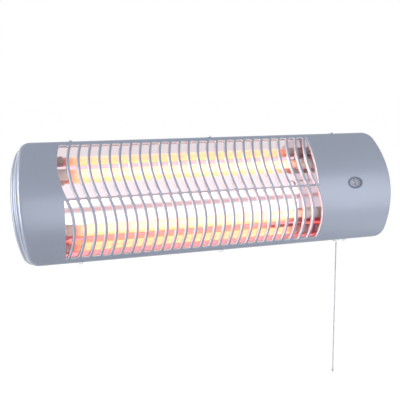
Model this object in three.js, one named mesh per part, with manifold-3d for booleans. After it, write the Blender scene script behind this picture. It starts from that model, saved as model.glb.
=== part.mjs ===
// Wall-mounted quartz bar heater: a curved one-piece grille over two quartz tubes in a double-trough
// reflector, a pull-cord switch with a number drum behind an oval window, and a tilting wall bracket.
// Millimetres, +Z up, front towards -Y. The origin is on the wall, level with the tilt pivots.
import * as THREE from "three";
import { mergeVertices } from "three/addons/utils/BufferGeometryUtils.js";
import Module from "manifold-3d";

const wasm = await Module();
wasm.setup();

// ---- driving dimensions -------------------------------------------------------------------------
const GAP = 0.3; // clearance between pieces that touch
const REST_TILT = THREE.MathUtils.degToRad(16); // lean of the housing, top to the wall

// housing
const HALF_LENGTH = 237.5;
const HALF_HEIGHT = 68.5;
const FRONT_SAGITTA = 19.5; // depth of the front's curve from its crown to its edges
const FRONT_FACETS = 16;
const END_RADIUS = 215; // curve of the ends, seen from the front
const CORNER_RADIUS = 14;
const BODY_DEPTH = 44; // front crown to flat back
const PANEL_WALL = 1.2;
const FLANGE_DEPTH = 8; // side of the front panel behind its edge
const SHELL_WALL = 1.2;
const STEP_DEPTH = 20; // second ridge of the side, behind the panel's edge
const END_SWELL = [3.2, 6.6]; // how far the side's two ridges swell beyond the panel's ends
const BACK_INSET = 8; // how far the side has drawn in at the flat back
const SHELL_LAP = 5; // how far the rear shell reaches inside the panel's side

// grille, as wide as the two plain ends leave room for
const LEFT_BLANK = 49.6;
const SWITCH_BLANK = 106.6;
const PITCH = 12;
const BAR_WIDTH = 3.4;
const BAR_SWEEP = 6.6; // sideways bow of a bar
const ROW_MARGIN = 5.9; // along the curved front, from a row's end to the panel's edge
const MIDDLE_BAR = 2.2;
const SLOT_CORNER = 1.2;

// reflector and tubes
const REFLECTOR_WALL = 0.8;
const REFLECTOR_LAP = 6.6; // beyond the grille at each end
const TROUGH_BEHIND = 6; // trough's floor to the flat back
const LIP_INSET = 4.5; // trough's lip inside the panel's edge
const LIP_DEPTH = 1.15; // trough's lip behind the panel's inside face
const FLOOR_HALF = 4.5; // flat floor behind a tube, to each side of the tube's line
const WALL_FOOT = [0.9, 11]; // foot of the outer wall: in front of the floor, and from that line
const RIDGE_FOOT = [1.7, 19.5]; // foot of the ridge between the troughs, likewise
const RIDGE = [33.5, 5]; // depth and half height of the ridge
const TUBE_INSET = 37; // tube's axis inside the panel's edge
const TUBE_STAND = 11; // tube's axis in front of the trough's floor
const TUBE_RADIUS = 5;
const TUBE_WALL = 1;
const TUBE_SHORT = 11; // tube's end inside the reflector's end
const COIL_RADIUS = 2.7;
const COIL_SHORT = 11; // coil's end inside the tube's end
const CAP_WALL = 1.1;
const CAP_GROOVE = 0.8;
const CAP_LENGTH = 25;
const CAP_SEAT = 8; // how deep the tube sits in its cap
const TAIL_RADIUS = 1;
const TAIL_REACH = 6; // tail beyond the cap
const LEAD_RADIUS = 1.25;
const STUB = 2; // straight length at a lead's end

// number window and switch
const WINDOW_FROM_END = 53.8;
const WINDOW_HALF = [9.6, 6.6];
const BEZEL_RIM = 1.2;
const BEZEL_LIP = 1.5; // from the panel's hole to the lens opening
const BEZEL_STAND = 0.8; // how far the rim stands proud
const DRUM_RADIUS = 10.6;
const DRUM_DEPTH = 14.2; // front crown to the drum's axis
const DRUM_WIDTH = 17;
const DRUM_CLEARANCE = 0.6;
const SHAFT_RADIUS = 2;
const SWITCH_WIDTH = 6;
const SWITCH_HALF_HEIGHT = 24;
const RATCHET_TEETH = 6;
const RATCHET_RADIUS = 9;
const RATCHET_WIDTH = 5; // ratchet wheel and slider
const TOOTH_WIDTH = 2.4;
const NOSE_SHORT = 1.6; // slider's nose inside the ratchet's radius
const NOSE_HEIGHT = 3;
const SLIDER_THICKNESS = 7;
const SLIDER_Z = [-24, 20];
const GUIDE_Z = [-15, 10];
const GUIDE_WALL = 1.4;
const SPRING_ROOM = 6; // top of the switch to the hanger
const SPRING_RADII = [1.4, 2.4];
const HANGER_WALL = 2;

// pull cord
const CORD_FROM_WINDOW = 19;
const CORD_CLEARANCE = 0.1; // bushing behind the panel's side
const CORD_RADIUS = 0.8;
const CORD_LENGTH = 170.5; // below the bushing, to the knot
const KNOT = [1.5, 4]; // radius and height
const KINK = 0.5; // from the swing point to each end of the cord
const BUSHING_RADIUS = 4.4;
const BUSHING_NECK = 3.2;
const BUSHING_BORE = 1.6;
const BUSHING_DROP = 2.6; // how far it stands below the shell

// fasteners
const COVER_SCREW_FROM_END = 66.5;
const SCREW_RADIUS = 1.45;
const SCREW_HEAD = [3.2, 1.8]; // radius and height
const COVER_SCREW_LENGTH = 4.2;
const BOSS_FROM_END = 66; // boss inside the reflector's end
const BOSS_RADIUS = 3.6;

// electrical pieces
const TERMINALS_FROM_END = [40.5, 14.5];
const TERMINALS_Z = [-40, -15];
const TERMINALS_HEIGHT = 13; // with the shell's back
const CUTOUT_FROM_END = 24.5;
const CUTOUT_RADIUS = 8;
const CUTOUT_HEIGHT = 9; // with the shell's back
const INLET_FROM_END = 29.5;
const INLET_Z = 14;
const INLET_RADIUS = 6;
const INLET_BORE = 3.4;

// brackets
const PIVOT_STANDOFF = 28; // wall to pivot
const BACK_STANDOFF = 14; // pivot to the housing's back
const BRACKET_WALL = 2;
const BRACKET_HALF = 75;
const BRACKET_HALF_HEIGHT = 20;
const EAR_RADIUS = 10;
const EAR_FOOT = 14; // half height of an ear at its foot
const EAR_CLEARANCE = 0.5;
const BOLT_RADIUS = 2.4;
const NUT_WIDTH = 5;
const WALL_HOLE_X = [-50, 50];
const WALL_HOLE_RADIUS = 2.6;
const TILT_SCREW_X = [-50, 50];
const TILT_SCREW_Z = [-13, 13];
const TILT_SCREW_RADIUS = 1.9;

// ---- derived places -----------------------------------------------------------------------------
const FRONT_RADIUS = (HALF_HEIGHT ** 2 + FRONT_SAGITTA ** 2) / (2 * FRONT_SAGITTA);
const HOUSING_FRONT = -(BACK_STANDOFF + BODY_DEPTH);
const at = (depth) => HOUSING_FRONT + depth; // y of a depth behind the front crown
const arcDepth = (z) => FRONT_RADIUS - Math.sqrt(FRONT_RADIUS * FRONT_RADIUS - z * z);
const heightOf = (along) => FRONT_RADIUS * Math.sin(along / FRONT_RADIUS);
const BACK = at(BODY_DEPTH);
const FLOOR = BACK - SHELL_WALL - GAP; // where a piece stands on the inside of the back
const ROW_END = FRONT_RADIUS * Math.asin(HALF_HEIGHT / FRONT_RADIUS) - ROW_MARGIN;
const GRILLE_ROOM = 2 * HALF_LENGTH - LEFT_BLANK - SWITCH_BLANK - 2 * BAR_WIDTH;
const BARS = 2 * Math.round(GRILLE_ROOM / (2 * PITCH)); // in each row
const GRILLE_HALF = (BARS / 2) * PITCH + BAR_WIDTH;
const GRILLE_X = -HALF_LENGTH + LEFT_BLANK + GRILLE_HALF; // middle of the grille
const REFLECTOR_HALF = GRILLE_HALF + REFLECTOR_LAP;
const PLATE_START = REFLECTOR_HALF + GAP;
const TROUGH_DEPTH = BODY_DEPTH - TROUGH_BEHIND;
const TUBE_Z = HALF_HEIGHT - TUBE_INSET;
const TUBE_DEPTH = TROUGH_DEPTH - TUBE_STAND;
const TUBE_HALF = REFLECTOR_HALF - TUBE_SHORT;
const COIL_HALF = TUBE_HALF - COIL_SHORT;
const CAP_RADIUS = TUBE_RADIUS + GAP + CAP_WALL;
const CAP_START = TUBE_HALF + GAP - CAP_SEAT;
const CAP_END = CAP_START + CAP_LENGTH;
const TAIL_END = CAP_END + TAIL_REACH;
const WINDOW_X = HALF_LENGTH - WINDOW_FROM_END;
const SWITCH_X = WINDOW_X - DRUM_WIDTH / 2 - SWITCH_WIDTH - DRUM_CLEARANCE; // switch's left face
const CORD_X = WINDOW_X - CORD_FROM_WINDOW;
const CORD_DEPTH = FRONT_SAGITTA + FLANGE_DEPTH + BUSHING_RADIUS + CORD_CLEARANCE;
const SLIDER_X = [CORD_X - RATCHET_WIDTH / 2, CORD_X + RATCHET_WIDTH / 2];
const SLIDER_DEPTH = CORD_DEPTH - 4.6; // front face of the slider
const SLIDER_BACK = SLIDER_DEPTH + SLIDER_THICKNESS;
const HANGER_Z = SWITCH_HALF_HEIGHT + SPRING_ROOM;
const COVER_SCREW_X = [COVER_SCREW_FROM_END - HALF_LENGTH, 0, HALF_LENGTH - COVER_SCREW_FROM_END];
const COVER_SCREW_DEPTH = FRONT_SAGITTA + FLANGE_DEPTH - SCREW_HEAD[0] - 0.8;
const BOSS_X = [BOSS_FROM_END - REFLECTOR_HALF, REFLECTOR_HALF - BOSS_FROM_END];
const BOSS_TOP = at(TROUGH_DEPTH) + REFLECTOR_WALL + GAP;
const LAP_INSET = PANEL_WALL + GAP; // rear shell inside the panel's side
const SHELL_BOTTOM = -(HALF_HEIGHT - LAP_INSET);
const CORD_EXIT_Z = SHELL_BOTTOM - GAP - BUSHING_DROP;
const TERMINALS_X = TERMINALS_FROM_END.map((inset) => HALF_LENGTH - inset);
const CUTOUT_X = -HALF_LENGTH + CUTOUT_FROM_END;
const INLET_X = HALF_LENGTH - INLET_FROM_END;
const TILT_EAR_X = BRACKET_HALF - BRACKET_WALL - EAR_CLEARANCE; // outer face of the tilt bracket's ears

// ---- materials ----------------------------------------------------------------------------------
const finish = (color, roughness, metalness = 0) =>
  new THREE.MeshStandardMaterial({ color, roughness, metalness });
const SILVER_PAINT = finish(0x9aa3b5, 0.4, 0.4);
const MIRROR = finish(0xd8d8dc, 0.1, 1);
const QUARTZ = finish(0xffd9b0, 0.1);
const COIL_WIRE = finish(0xff7a3c, 0.5, 0.6);
const CERAMIC = finish(0xe6e2d8, 0.7);
const ZINC = finish(0xaeb2b8, 0.35, 1);
const WHITE_NYLON = finish(0xe9e9ec, 0.5);
const GREY_PLASTIC = finish(0xb9bec9, 0.45);
const BLACK_RUBBER = finish(0x1c1c1e, 0.8);
const CLEAR = finish(0xdfe6ee, 0.05);
const SLEEVE = finish(0xd9d4c8, 0.7);

// ---- solids -------------------------------------------------------------------------------------
function solid(geometry) {
  const bare = geometry.clone();
  for (const name of Object.keys(bare.attributes)) {
    if (name !== "position") bare.deleteAttribute(name);
  }
  const merged = mergeVertices(bare, 1e-4);
  return new wasm.Manifold(
    new wasm.Mesh({
      numProp: 3,
      vertProperties: new Float32Array(merged.attributes.position.array),
      triVerts: new Uint32Array(merged.index.array),
    }),
  );
}

function geometryOf(manifold) {
  const mesh = manifold.getMesh();
  const geometry = new THREE.BufferGeometry();
  geometry.setAttribute("position", new THREE.BufferAttribute(mesh.vertProperties, 3));
  geometry.setIndex(new THREE.BufferAttribute(mesh.triVerts, 1));
  const faceted = geometry.toNonIndexed();
  faceted.computeVertexNormals();
  return faceted;
}

const join = (...solids) => solids.reduce((whole, one) => whole.add(one));
const cut = (whole, ...tools) => tools.reduce((rest, one) => rest.subtract(one), whole);

const ALONG_X = new THREE.Matrix4().makeBasis(
  new THREE.Vector3(0, 1, 0),
  new THREE.Vector3(0, 0, 1),
  new THREE.Vector3(1, 0, 0),
);
const ALONG_Y = new THREE.Matrix4().makeBasis(
  new THREE.Vector3(1, 0, 0),
  new THREE.Vector3(0, 0, 1),
  new THREE.Vector3(0, -1, 0),
);

const shapeOf = (points) => new THREE.Shape(points.map(([a, b]) => new THREE.Vector2(a, b)));
const extruded = (points, depth) =>
  new THREE.ExtrudeGeometry(shapeOf(points), { depth, bevelEnabled: false, steps: 1 });

// A (y, z) outline from x0 to x1, and an (x, z) outline from the back plane y0 to the front y1.
function prismX(points, x0, x1) {
  return extruded(points, x1 - x0).applyMatrix4(ALONG_X).translate(x0, 0, 0);
}
function prismY(points, y0, y1) {
  return extruded(points, y0 - y1).applyMatrix4(ALONG_Y).translate(0, y0, 0);
}

function box(x, y, z) {
  return new THREE.BoxGeometry(x[1] - x[0], y[1] - y[0], z[1] - z[0]).translate(
    (x[0] + x[1]) / 2,
    (y[0] + y[1]) / 2,
    (z[0] + z[1]) / 2,
  );
}

// A round bar between two points on one axis: "x", "y" or "z".
function rod(axis, radius, from, to, sides = 16) {
  const geometry = new THREE.CylinderGeometry(radius, radius, to - from, sides);
  if (axis === "x") geometry.rotateZ(-Math.PI / 2);
  if (axis === "z") geometry.rotateX(Math.PI / 2);
  const middle = (from + to) / 2;
  return geometry.translate(
    axis === "x" ? middle : 0,
    axis === "y" ? middle : 0,
    axis === "z" ? middle : 0,
  );
}

// A turned piece about the x axis: profile of (radius, x) pairs that closes on itself or the axis.
function turnedX(profile, sides = 16) {
  const points = profile.map(([radius, x]) => new THREE.Vector2(radius, x));
  return new THREE.LatheGeometry(points, sides).rotateZ(-Math.PI / 2);
}

function arc(cx, cy, radius, from, to, steps) {
  return Array.from({ length: steps + 1 }, (_, i) => {
    const angle = from + ((to - from) * i) / steps;
    return [cx + radius * Math.cos(angle), cy + radius * Math.sin(angle)];
  });
}

function oval(cx, cy, rx, ry, steps = 28) {
  return Array.from({ length: steps }, (_, i) => {
    const angle = (2 * Math.PI * i) / steps;
    return [cx + rx * Math.cos(angle), cy + ry * Math.sin(angle)];
  });
}

function wire(points, radius, sides = 6, steps = 14) {
  const path = new THREE.CatmullRomCurve3(points.map((p) => new THREE.Vector3(...p)));
  const section = shapeOf(oval(0, 0, radius, radius, sides));
  return new THREE.ExtrudeGeometry(section, { extrudePath: path, steps, bevelEnabled: false });
}

// ---- housing outlines ---------------------------------------------------------------------------
// The housing seen from the front, drawn in by `inset` all round.
function housingOutline(inset, swell = 0) {
  const endCentre = HALF_LENGTH - END_RADIUS;
  const cornerZ = HALF_HEIGHT - CORNER_RADIUS;
  const reach = END_RADIUS - CORNER_RADIUS;
  const cornerX = endCentre + Math.sqrt(reach * reach - cornerZ * cornerZ);
  const turn = Math.asin(cornerZ / reach);
  const half = [
    ...arc(endCentre, 0, END_RADIUS - inset, -turn, turn, 8),
    ...arc(cornerX, cornerZ, CORNER_RADIUS - inset, turn, Math.PI / 2, 4).slice(1),
  ];
  const quarter = arc(cornerX, -cornerZ, CORNER_RADIUS - inset, -Math.PI / 2, -turn, 4).slice(0, -1);
  const right = [...quarter, ...half].map(([x, z]) => [x + swell * (1 - (z / HALF_HEIGHT) ** 4), z]);
  return [...right, ...right.map(([x, z]) => [-x, -z])];
}

// Everything behind the curved front, moved back by `depth`.
function behindFront(depth) {
  const spread = Math.asin((HALF_HEIGHT + 8) / FRONT_RADIUS);
  const centre = at(depth) + FRONT_RADIUS;
  const front = arc(centre, 0, FRONT_RADIUS, Math.PI + spread, Math.PI - spread, FRONT_FACETS);
  const back = at(BODY_DEPTH + 60);
  const outline = [...front, [back, front.at(-1)[1]], [back, front[0][1]]].reverse();
  return solid(prismX(outline, -HALF_LENGTH - END_SWELL[1] - 5, HALF_LENGTH + END_SWELL[1] + 5));
}

const housingPrism = (inset, front, back, swell = 0) =>
  solid(prismY(housingOutline(inset, swell), back, front));

// A prism whose back end is drawn in further than its front end.
function taperedPrism(frontInset, backInset, swell, front, back) {
  const geometry = prismY(housingOutline(frontInset, swell), back, front);
  const position = geometry.attributes.position;
  const shrinkX = (HALF_LENGTH - backInset) / (HALF_LENGTH + swell - frontInset);
  const shrinkZ = (HALF_HEIGHT - backInset) / (HALF_HEIGHT - frontInset);
  for (let i = 0; i < position.count; i += 1) {
    if (position.getY(i) > (front + back) / 2) {
      position.setX(i, position.getX(i) * shrinkX);
      position.setZ(i, position.getZ(i) * shrinkZ);
    }
  }
  return solid(geometry);
}

// ---- front panel --------------------------------------------------------------------------------
// Sideways place of the bar line `index` at `along` from the middle, up the curved front.
function barLine(row, index, along) {
  const middle = (ROW_END + MIDDLE_BAR / 2) / 2;
  const half = (ROW_END - MIDDLE_BAR / 2) / 2;
  const bow = BAR_SWEEP * (1 - ((Math.abs(along) - middle) / half) ** 2);
  return GRILLE_X + row * ((index - BARS / 2) * PITCH - bow);
}

// One slot of a row (row is 1 above, -1 below): the lower row is the upper one turned half round.
function slotOutline(row, index) {
  const inner = MIDDLE_BAR / 2;
  const stations = [inner, inner + SLOT_CORNER];
  for (let i = 1; i < 4; i += 1) stations.push(inner + ((ROW_END - inner) * i) / 4);
  stations.push(ROW_END - SLOT_CORNER, ROW_END);
  const left = [];
  const right = [];
  stations.forEach((along, i) => {
    const chamfer = i === 0 || i === stations.length - 1 ? SLOT_CORNER * 0.7 : 0;
    const side = index === 0 ? 0 : BAR_WIDTH / 2;
    const a = barLine(row, index, along) + row * (side + chamfer);
    const b =
      index === BARS
        ? GRILLE_X + row * (GRILLE_HALF - chamfer * 0.3)
        : barLine(row, index + 1, along) - row * (BAR_WIDTH / 2 + chamfer);
    left.push([a, row * heightOf(along)]);
    right.push([b, row * heightOf(along)]);
  });
  return [...left, ...right.reverse()].reverse();
}

function frontPanel() {
  const deep = at(FRONT_SAGITTA + FLANGE_DEPTH + 10);
  const whole = housingPrism(0, at(-1), deep).intersect(behindFront(0));
  const hollow = housingPrism(PANEL_WALL, at(-1), deep + 1).intersect(behindFront(PANEL_WALL));
  const slots = [];
  for (const row of [1, -1]) {
    for (let index = 0; index <= BARS; index += 1) {
      slots.push(solid(prismY(slotOutline(row, index), at(32), at(-2))));
    }
  }
  const [rx, rz] = WINDOW_HALF;
  const window = solid(prismY(oval(WINDOW_X, 0, rx, rz), at(6), at(-3)));
  const screwHoles = COVER_SCREW_X.map((x) => coverScrewHole(x));
  return cut(whole, hollow, behindFront(FLANGE_DEPTH), ...slots, window, ...screwHoles);
}

function coverScrewHole(x) {
  const reach = HALF_HEIGHT + 5;
  return solid(rod("z", SCREW_RADIUS + GAP, -reach, reach).translate(x, at(COVER_SCREW_DEPTH), 0));
}

// ---- rear shell ---------------------------------------------------------------------------------
// Outside of the rear shell, or its hollow when it is drawn in by the wall and opened to the front:
// a lap inside the panel, a first ridge, and a second one that is drawn in towards the flat back.
function shellBody(wall, start) {
  const inset = LAP_INSET + wall;
  const lap = housingPrism(inset, at(-6), BACK - wall).intersect(behindFront(start));
  const ridge = housingPrism(inset, at(-6), BACK - wall, END_SWELL[0]);
  const first = join(lap, ridge.intersect(behindFront(FLANGE_DEPTH + GAP + wall)));
  const [front, back] = [at(STEP_DEPTH - SHELL_WALL - 1), BACK - wall];
  const second = taperedPrism(inset, BACK_INSET + wall, END_SWELL[1], front, back);
  const between = first.intersect(second).intersect(behindFront(STEP_DEPTH - wall - 0.05));
  return join(
    cut(first, behindFront(STEP_DEPTH - wall)),
    cut(between, behindFront(STEP_DEPTH + wall + 0.05)),
    second.intersect(behindFront(STEP_DEPTH + wall)),
  );
}

const placesOn = (xs, zs) => xs.flatMap((x) => zs.map((z) => [x, z]));
const backRod = (radius, from, to, x, z, sides = 12) =>
  solid(rod("y", radius, from, to, sides).translate(x, 0, z));

function rearShell() {
  const bossPlaces = placesOn(BOSS_X, [-TUBE_Z, TUBE_Z]);
  const bosses = bossPlaces.map(([x, z]) =>
    backRod(BOSS_RADIUS, BOSS_TOP, BACK - 0.4, GRILLE_X + x, z, 16),
  );
  const pilots = bossPlaces.map(([x, z]) =>
    backRod(SCREW_RADIUS + GAP, BOSS_TOP - 1, BACK - 0.8, GRILLE_X + x, z),
  );
  const bracketHoles = placesOn(TILT_SCREW_X, TILT_SCREW_Z).map(([x, z]) =>
    backRod(TILT_SCREW_RADIUS + GAP, BACK - 4, BACK + 2, x, z),
  );
  const inlet = backRod(INLET_RADIUS, BACK - 4, BACK + 2, INLET_X, INLET_Z, 20);
  const cordHole = rod("z", BUSHING_NECK + GAP, -HALF_HEIGHT - 5, -HALF_HEIGHT + 12);
  cordHole.translate(CORD_X, at(CORD_DEPTH), 0);
  const walls = cut(shellBody(0, FLANGE_DEPTH - SHELL_LAP), shellBody(SHELL_WALL, -2));
  return cut(
    join(walls, ...bosses),
    ...pilots,
    ...bracketHoles,
    inlet,
    solid(cordHole),
    ...COVER_SCREW_X.map(coverScrewHole),
  );
}

// A pan-head screw: head on the outside at `seat`, shank towards +axis, both about the y axis.
function screw(head, headHeight, shank, length) {
  return join(
    solid(rod("y", head, -headHeight, 0, 14)),
    solid(rod("y", shank, -0.1, length, 10)),
  );
}

// ---- reflector ----------------------------------------------------------------------------------
const LIP_Z = HALF_HEIGHT - LIP_INSET;
const HALF_TROUGH = [
  [arcDepth(LIP_Z) + PANEL_WALL + GAP + LIP_DEPTH, LIP_Z],
  [TROUGH_DEPTH - WALL_FOOT[0], TUBE_Z + WALL_FOOT[1]],
  [TROUGH_DEPTH, TUBE_Z + FLOOR_HALF],
  [TROUGH_DEPTH, TUBE_Z - FLOOR_HALF],
  [TROUGH_DEPTH - RIDGE_FOOT[0], TUBE_Z - RIDGE_FOOT[1]],
  RIDGE,
];
const TROUGH = [...HALF_TROUGH, ...HALF_TROUGH.map(([depth, z]) => [depth, -z]).reverse()].map(
  ([depth, z]) => [at(depth), z],
);

// The same line moved back by `distance`, square to each stretch.
function movedBack(line, distance) {
  return line.map((point, i) => {
    const before = line[Math.max(i - 1, 0)];
    const after = line[Math.min(i + 1, line.length - 1)];
    const normal = (a, b) => {
      const length = Math.hypot(b[0] - a[0], b[1] - a[1]);
      return [-(b[1] - a[1]) / length, (b[0] - a[0]) / length];
    };
    const n = [];
    if (i > 0) n.push(normal(before, point));
    if (i < line.length - 1) n.push(normal(point, after));
    const sum = n.reduce((total, [a, b]) => [total[0] + a, total[1] + b], [0, 0]);
    const scale = (distance * n.length) / (sum[0] * sum[0] + sum[1] * sum[1]);
    return [point[0] + sum[0] * scale, point[1] + sum[1] * scale];
  });
}

function reflector() {
  const outline = [...TROUGH, ...movedBack(TROUGH, REFLECTOR_WALL).reverse()];
  const holes = placesOn(BOSS_X, [-TUBE_Z, TUBE_Z]).map(([x, z]) =>
    backRod(SCREW_RADIUS + GAP, at(TROUGH_DEPTH) - 3, at(TROUGH_DEPTH) + 3, x, z),
  );
  return cut(solid(prismX(outline.reverse(), -REFLECTOR_HALF, REFLECTOR_HALF)), ...holes);
}

// Closes one end of the troughs, stands on the shell's back and holds the tube caps in two holes.
function reflectorEnd() {
  const front = [];
  for (let step = -8; step <= 8; step += 1) {
    const z = (step / 8) * LIP_Z;
    front.push([at(arcDepth(z) + PANEL_WALL + GAP), z]);
  }
  const plate = prismX([...front, ...movedBack(TROUGH, REFLECTOR_WALL)].reverse(), 0, REFLECTOR_WALL);
  const foot = (z) =>
    solid(box([0, REFLECTOR_WALL], [at(TROUGH_DEPTH), FLOOR], [z - 7, z + 7]));
  const hole = (z) =>
    solid(rod("x", CAP_RADIUS - CAP_GROOVE + GAP, -1, 2, 20).translate(0, at(TUBE_DEPTH), z));
  return cut(join(solid(plate), foot(-TUBE_Z), foot(TUBE_Z)), hole(-TUBE_Z), hole(TUBE_Z));
}

// ---- quartz tubes -------------------------------------------------------------------------------
function quartzTube() {
  return turnedX([
    [TUBE_RADIUS - TUBE_WALL, -TUBE_HALF],
    [TUBE_RADIUS, -TUBE_HALF],
    [TUBE_RADIUS, TUBE_HALF],
    [TUBE_RADIUS - TUBE_WALL, TUBE_HALF],
    [TUBE_RADIUS - TUBE_WALL, -TUBE_HALF],
  ]);
}

function heatingCoil() {
  return turnedX(
    [
      [0, -TAIL_END],
      [TAIL_RADIUS, -TAIL_END],
      [TAIL_RADIUS, -COIL_HALF],
      [COIL_RADIUS, -COIL_HALF],
      [COIL_RADIUS, COIL_HALF],
      [TAIL_RADIUS, COIL_HALF],
      [TAIL_RADIUS, TAIL_END],
      [0, TAIL_END],
    ],
    12,
  );
}

function tubeCap() {
  const bore = TAIL_RADIUS + GAP;
  const seat = TUBE_RADIUS + GAP;
  const groove = CAP_RADIUS - CAP_GROOVE;
  return turnedX([
    [seat, CAP_START],
    [CAP_RADIUS, CAP_START],
    [CAP_RADIUS, PLATE_START - GAP],
    [groove, PLATE_START - GAP],
    [groove, PLATE_START + REFLECTOR_WALL + GAP],
    [CAP_RADIUS, PLATE_START + REFLECTOR_WALL + GAP],
    [CAP_RADIUS, CAP_END],
    [bore, CAP_END],
    [bore, CAP_START + CAP_SEAT],
    [seat, CAP_START + CAP_SEAT],
    [seat, CAP_START],
  ]);
}

// ---- number window and switch -------------------------------------------------------------------
function windowBezel() {
  const [rx, rz] = WINDOW_HALF;
  const rim = prismY(oval(WINDOW_X, 0, rx + BEZEL_RIM, rz + BEZEL_RIM), at(-GAP), at(-BEZEL_STAND));
  const neck = prismY(oval(WINDOW_X, 0, rx - GAP, rz - GAP), at(3), at(-GAP - 0.1));
  const opening = prismY(oval(WINDOW_X, 0, rx - BEZEL_LIP, rz - BEZEL_LIP), at(4), at(-3));
  return cut(join(solid(rim), solid(neck)), solid(opening));
}

function windowLens() {
  const [rx, rz] = WINDOW_HALF;
  const clear = BEZEL_LIP + GAP;
  return prismY(oval(WINDOW_X, 0, rx - clear, rz - clear), at(1), at(-0.5));
}

function switchBody() {
  const body = box(
    [SWITCH_X, SWITCH_X + SWITCH_WIDTH],
    [at(5.5), FLOOR],
    [-SWITCH_HALF_HEIGHT, SWITCH_HALF_HEIGHT],
  );
  const left = SLIDER_X[0] - GAP - GUIDE_WALL;
  const guideDepth = [at(SLIDER_DEPTH + 1), at(SLIDER_BACK + GAP + GUIDE_WALL)];
  const guide = box([left, SWITCH_X + 0.1], guideDepth, GUIDE_Z);
  const channel = box(
    [SLIDER_X[0] - GAP, SLIDER_X[1] + GAP],
    [at(SLIDER_DEPTH - 2), at(SLIDER_BACK + GAP)],
    [GUIDE_Z[0] - 1, GUIDE_Z[1] + 1],
  );
  const hanger = box(
    [left, SWITCH_X + 0.1],
    [at(CORD_DEPTH - 3), at(CORD_DEPTH + 3)],
    [HANGER_Z, HANGER_Z + HANGER_WALL],
  );
  const hangerPost = box(
    [SWITCH_X, SWITCH_X + SWITCH_WIDTH],
    [at(CORD_DEPTH - 3), at(CORD_DEPTH + 3)],
    [SWITCH_HALF_HEIGHT - 1, HANGER_Z + HANGER_WALL],
  );
  const bore = rod("x", SHAFT_RADIUS + GAP, SWITCH_X - 12, SWITCH_X + SWITCH_WIDTH + 2);
  bore.translate(0, at(DRUM_DEPTH), 0);
  return cut(
    join(solid(body), solid(guide), solid(hanger), solid(hangerPost)),
    solid(channel),
    solid(bore),
  );
}

function ratchetWheel() {
  const hub = rod("x", RATCHET_RADIUS / 2, 0, RATCHET_WIDTH, 24);
  const teeth = [];
  for (let i = 0; i < RATCHET_TEETH; i += 1) {
    const tooth = box(
      [0, RATCHET_WIDTH],
      [RATCHET_RADIUS / 4, RATCHET_RADIUS],
      [-TOOTH_WIDTH / 2, TOOTH_WIDTH / 2],
    );
    tooth.rotateX(((i + 0.5) * 2 * Math.PI) / RATCHET_TEETH);
    teeth.push(solid(tooth));
  }
  const bore = rod("x", SHAFT_RADIUS + GAP, -1, RATCHET_WIDTH + 1);
  return cut(join(solid(hub), ...teeth), solid(bore));
}

function numberDrum() {
  return cut(
    solid(rod("x", DRUM_RADIUS, -DRUM_WIDTH / 2, DRUM_WIDTH / 2, 36)),
    solid(rod("x", SHAFT_RADIUS + GAP, -DRUM_WIDTH, DRUM_WIDTH)),
  );
}

// A flat bar with a nose that lies on top of the ratchet tooth below it.
function pullSlider() {
  const noseReach = RATCHET_RADIUS - NOSE_SHORT; // from the drum's axis
  const rest = Math.PI / RATCHET_TEETH;
  const toothTop = noseReach * Math.tan(rest) + TOOTH_WIDTH / 2 / Math.cos(rest);
  const noseZ = toothTop + GAP + 0.15;
  const bar = box(SLIDER_X, [at(SLIDER_DEPTH), at(SLIDER_BACK)], SLIDER_Z);
  const nose = box(
    SLIDER_X,
    [at(DRUM_DEPTH + noseReach), at(SLIDER_DEPTH) + 0.5],
    [noseZ, noseZ + NOSE_HEIGHT],
  );
  return join(solid(bar), solid(nose));
}

// Stand-in for the close-wound return spring between the slider and the hanger above it.
function returnSpring() {
  const top = HANGER_Z - GAP;
  const outer = rod("z", SPRING_RADII[1], SLIDER_Z[1] + GAP, top, 14);
  const inner = rod("z", SPRING_RADII[0], SLIDER_Z[1] - 1, top + 1, 14);
  return cut(solid(outer), solid(inner));
}

// ---- pull cord ----------------------------------------------------------------------------------
function cordBushing() {
  const collar = rod("z", BUSHING_RADIUS, CORD_EXIT_Z, SHELL_BOTTOM - GAP, 24);
  const neck = rod("z", BUSHING_NECK, SHELL_BOTTOM - GAP - 0.1, SHELL_BOTTOM + 3, 20);
  const bore = rod("z", BUSHING_BORE, CORD_EXIT_Z - 1, SHELL_BOTTOM + 4, 16);
  return cut(join(solid(collar), solid(neck)), solid(bore));
}

// ---- electrical pieces --------------------------------------------------------------------------
function terminalBlock() {
  const front = BACK - TERMINALS_HEIGHT;
  const [left, right] = TERMINALS_X;
  const middle = (TERMINALS_Z[0] + TERMINALS_Z[1]) / 2;
  const wells = [0.2, 0.5, 0.8].map((share) =>
    backRod(2.6, front - 1, front + 5, left + share * (right - left), middle),
  );
  return cut(solid(box(TERMINALS_X, [front, FLOOR], TERMINALS_Z)), ...wells);
}

function inletGrommet() {
  const inside = BACK - SHELL_WALL;
  const flange = INLET_RADIUS + 1.6;
  const neck = INLET_RADIUS - GAP;
  const profile = [
    [INLET_BORE, inside - 2],
    [flange, inside - 2],
    [flange, inside - GAP],
    [neck, inside - GAP],
    [neck, BACK + GAP],
    [flange, BACK + GAP],
    [flange, BACK + 2],
    [INLET_BORE, BACK + 2],
    [INLET_BORE, inside - 2],
  ];
  return new THREE.LatheGeometry(profile.map(([r, y]) => new THREE.Vector2(r, y)), 16);
}

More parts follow.
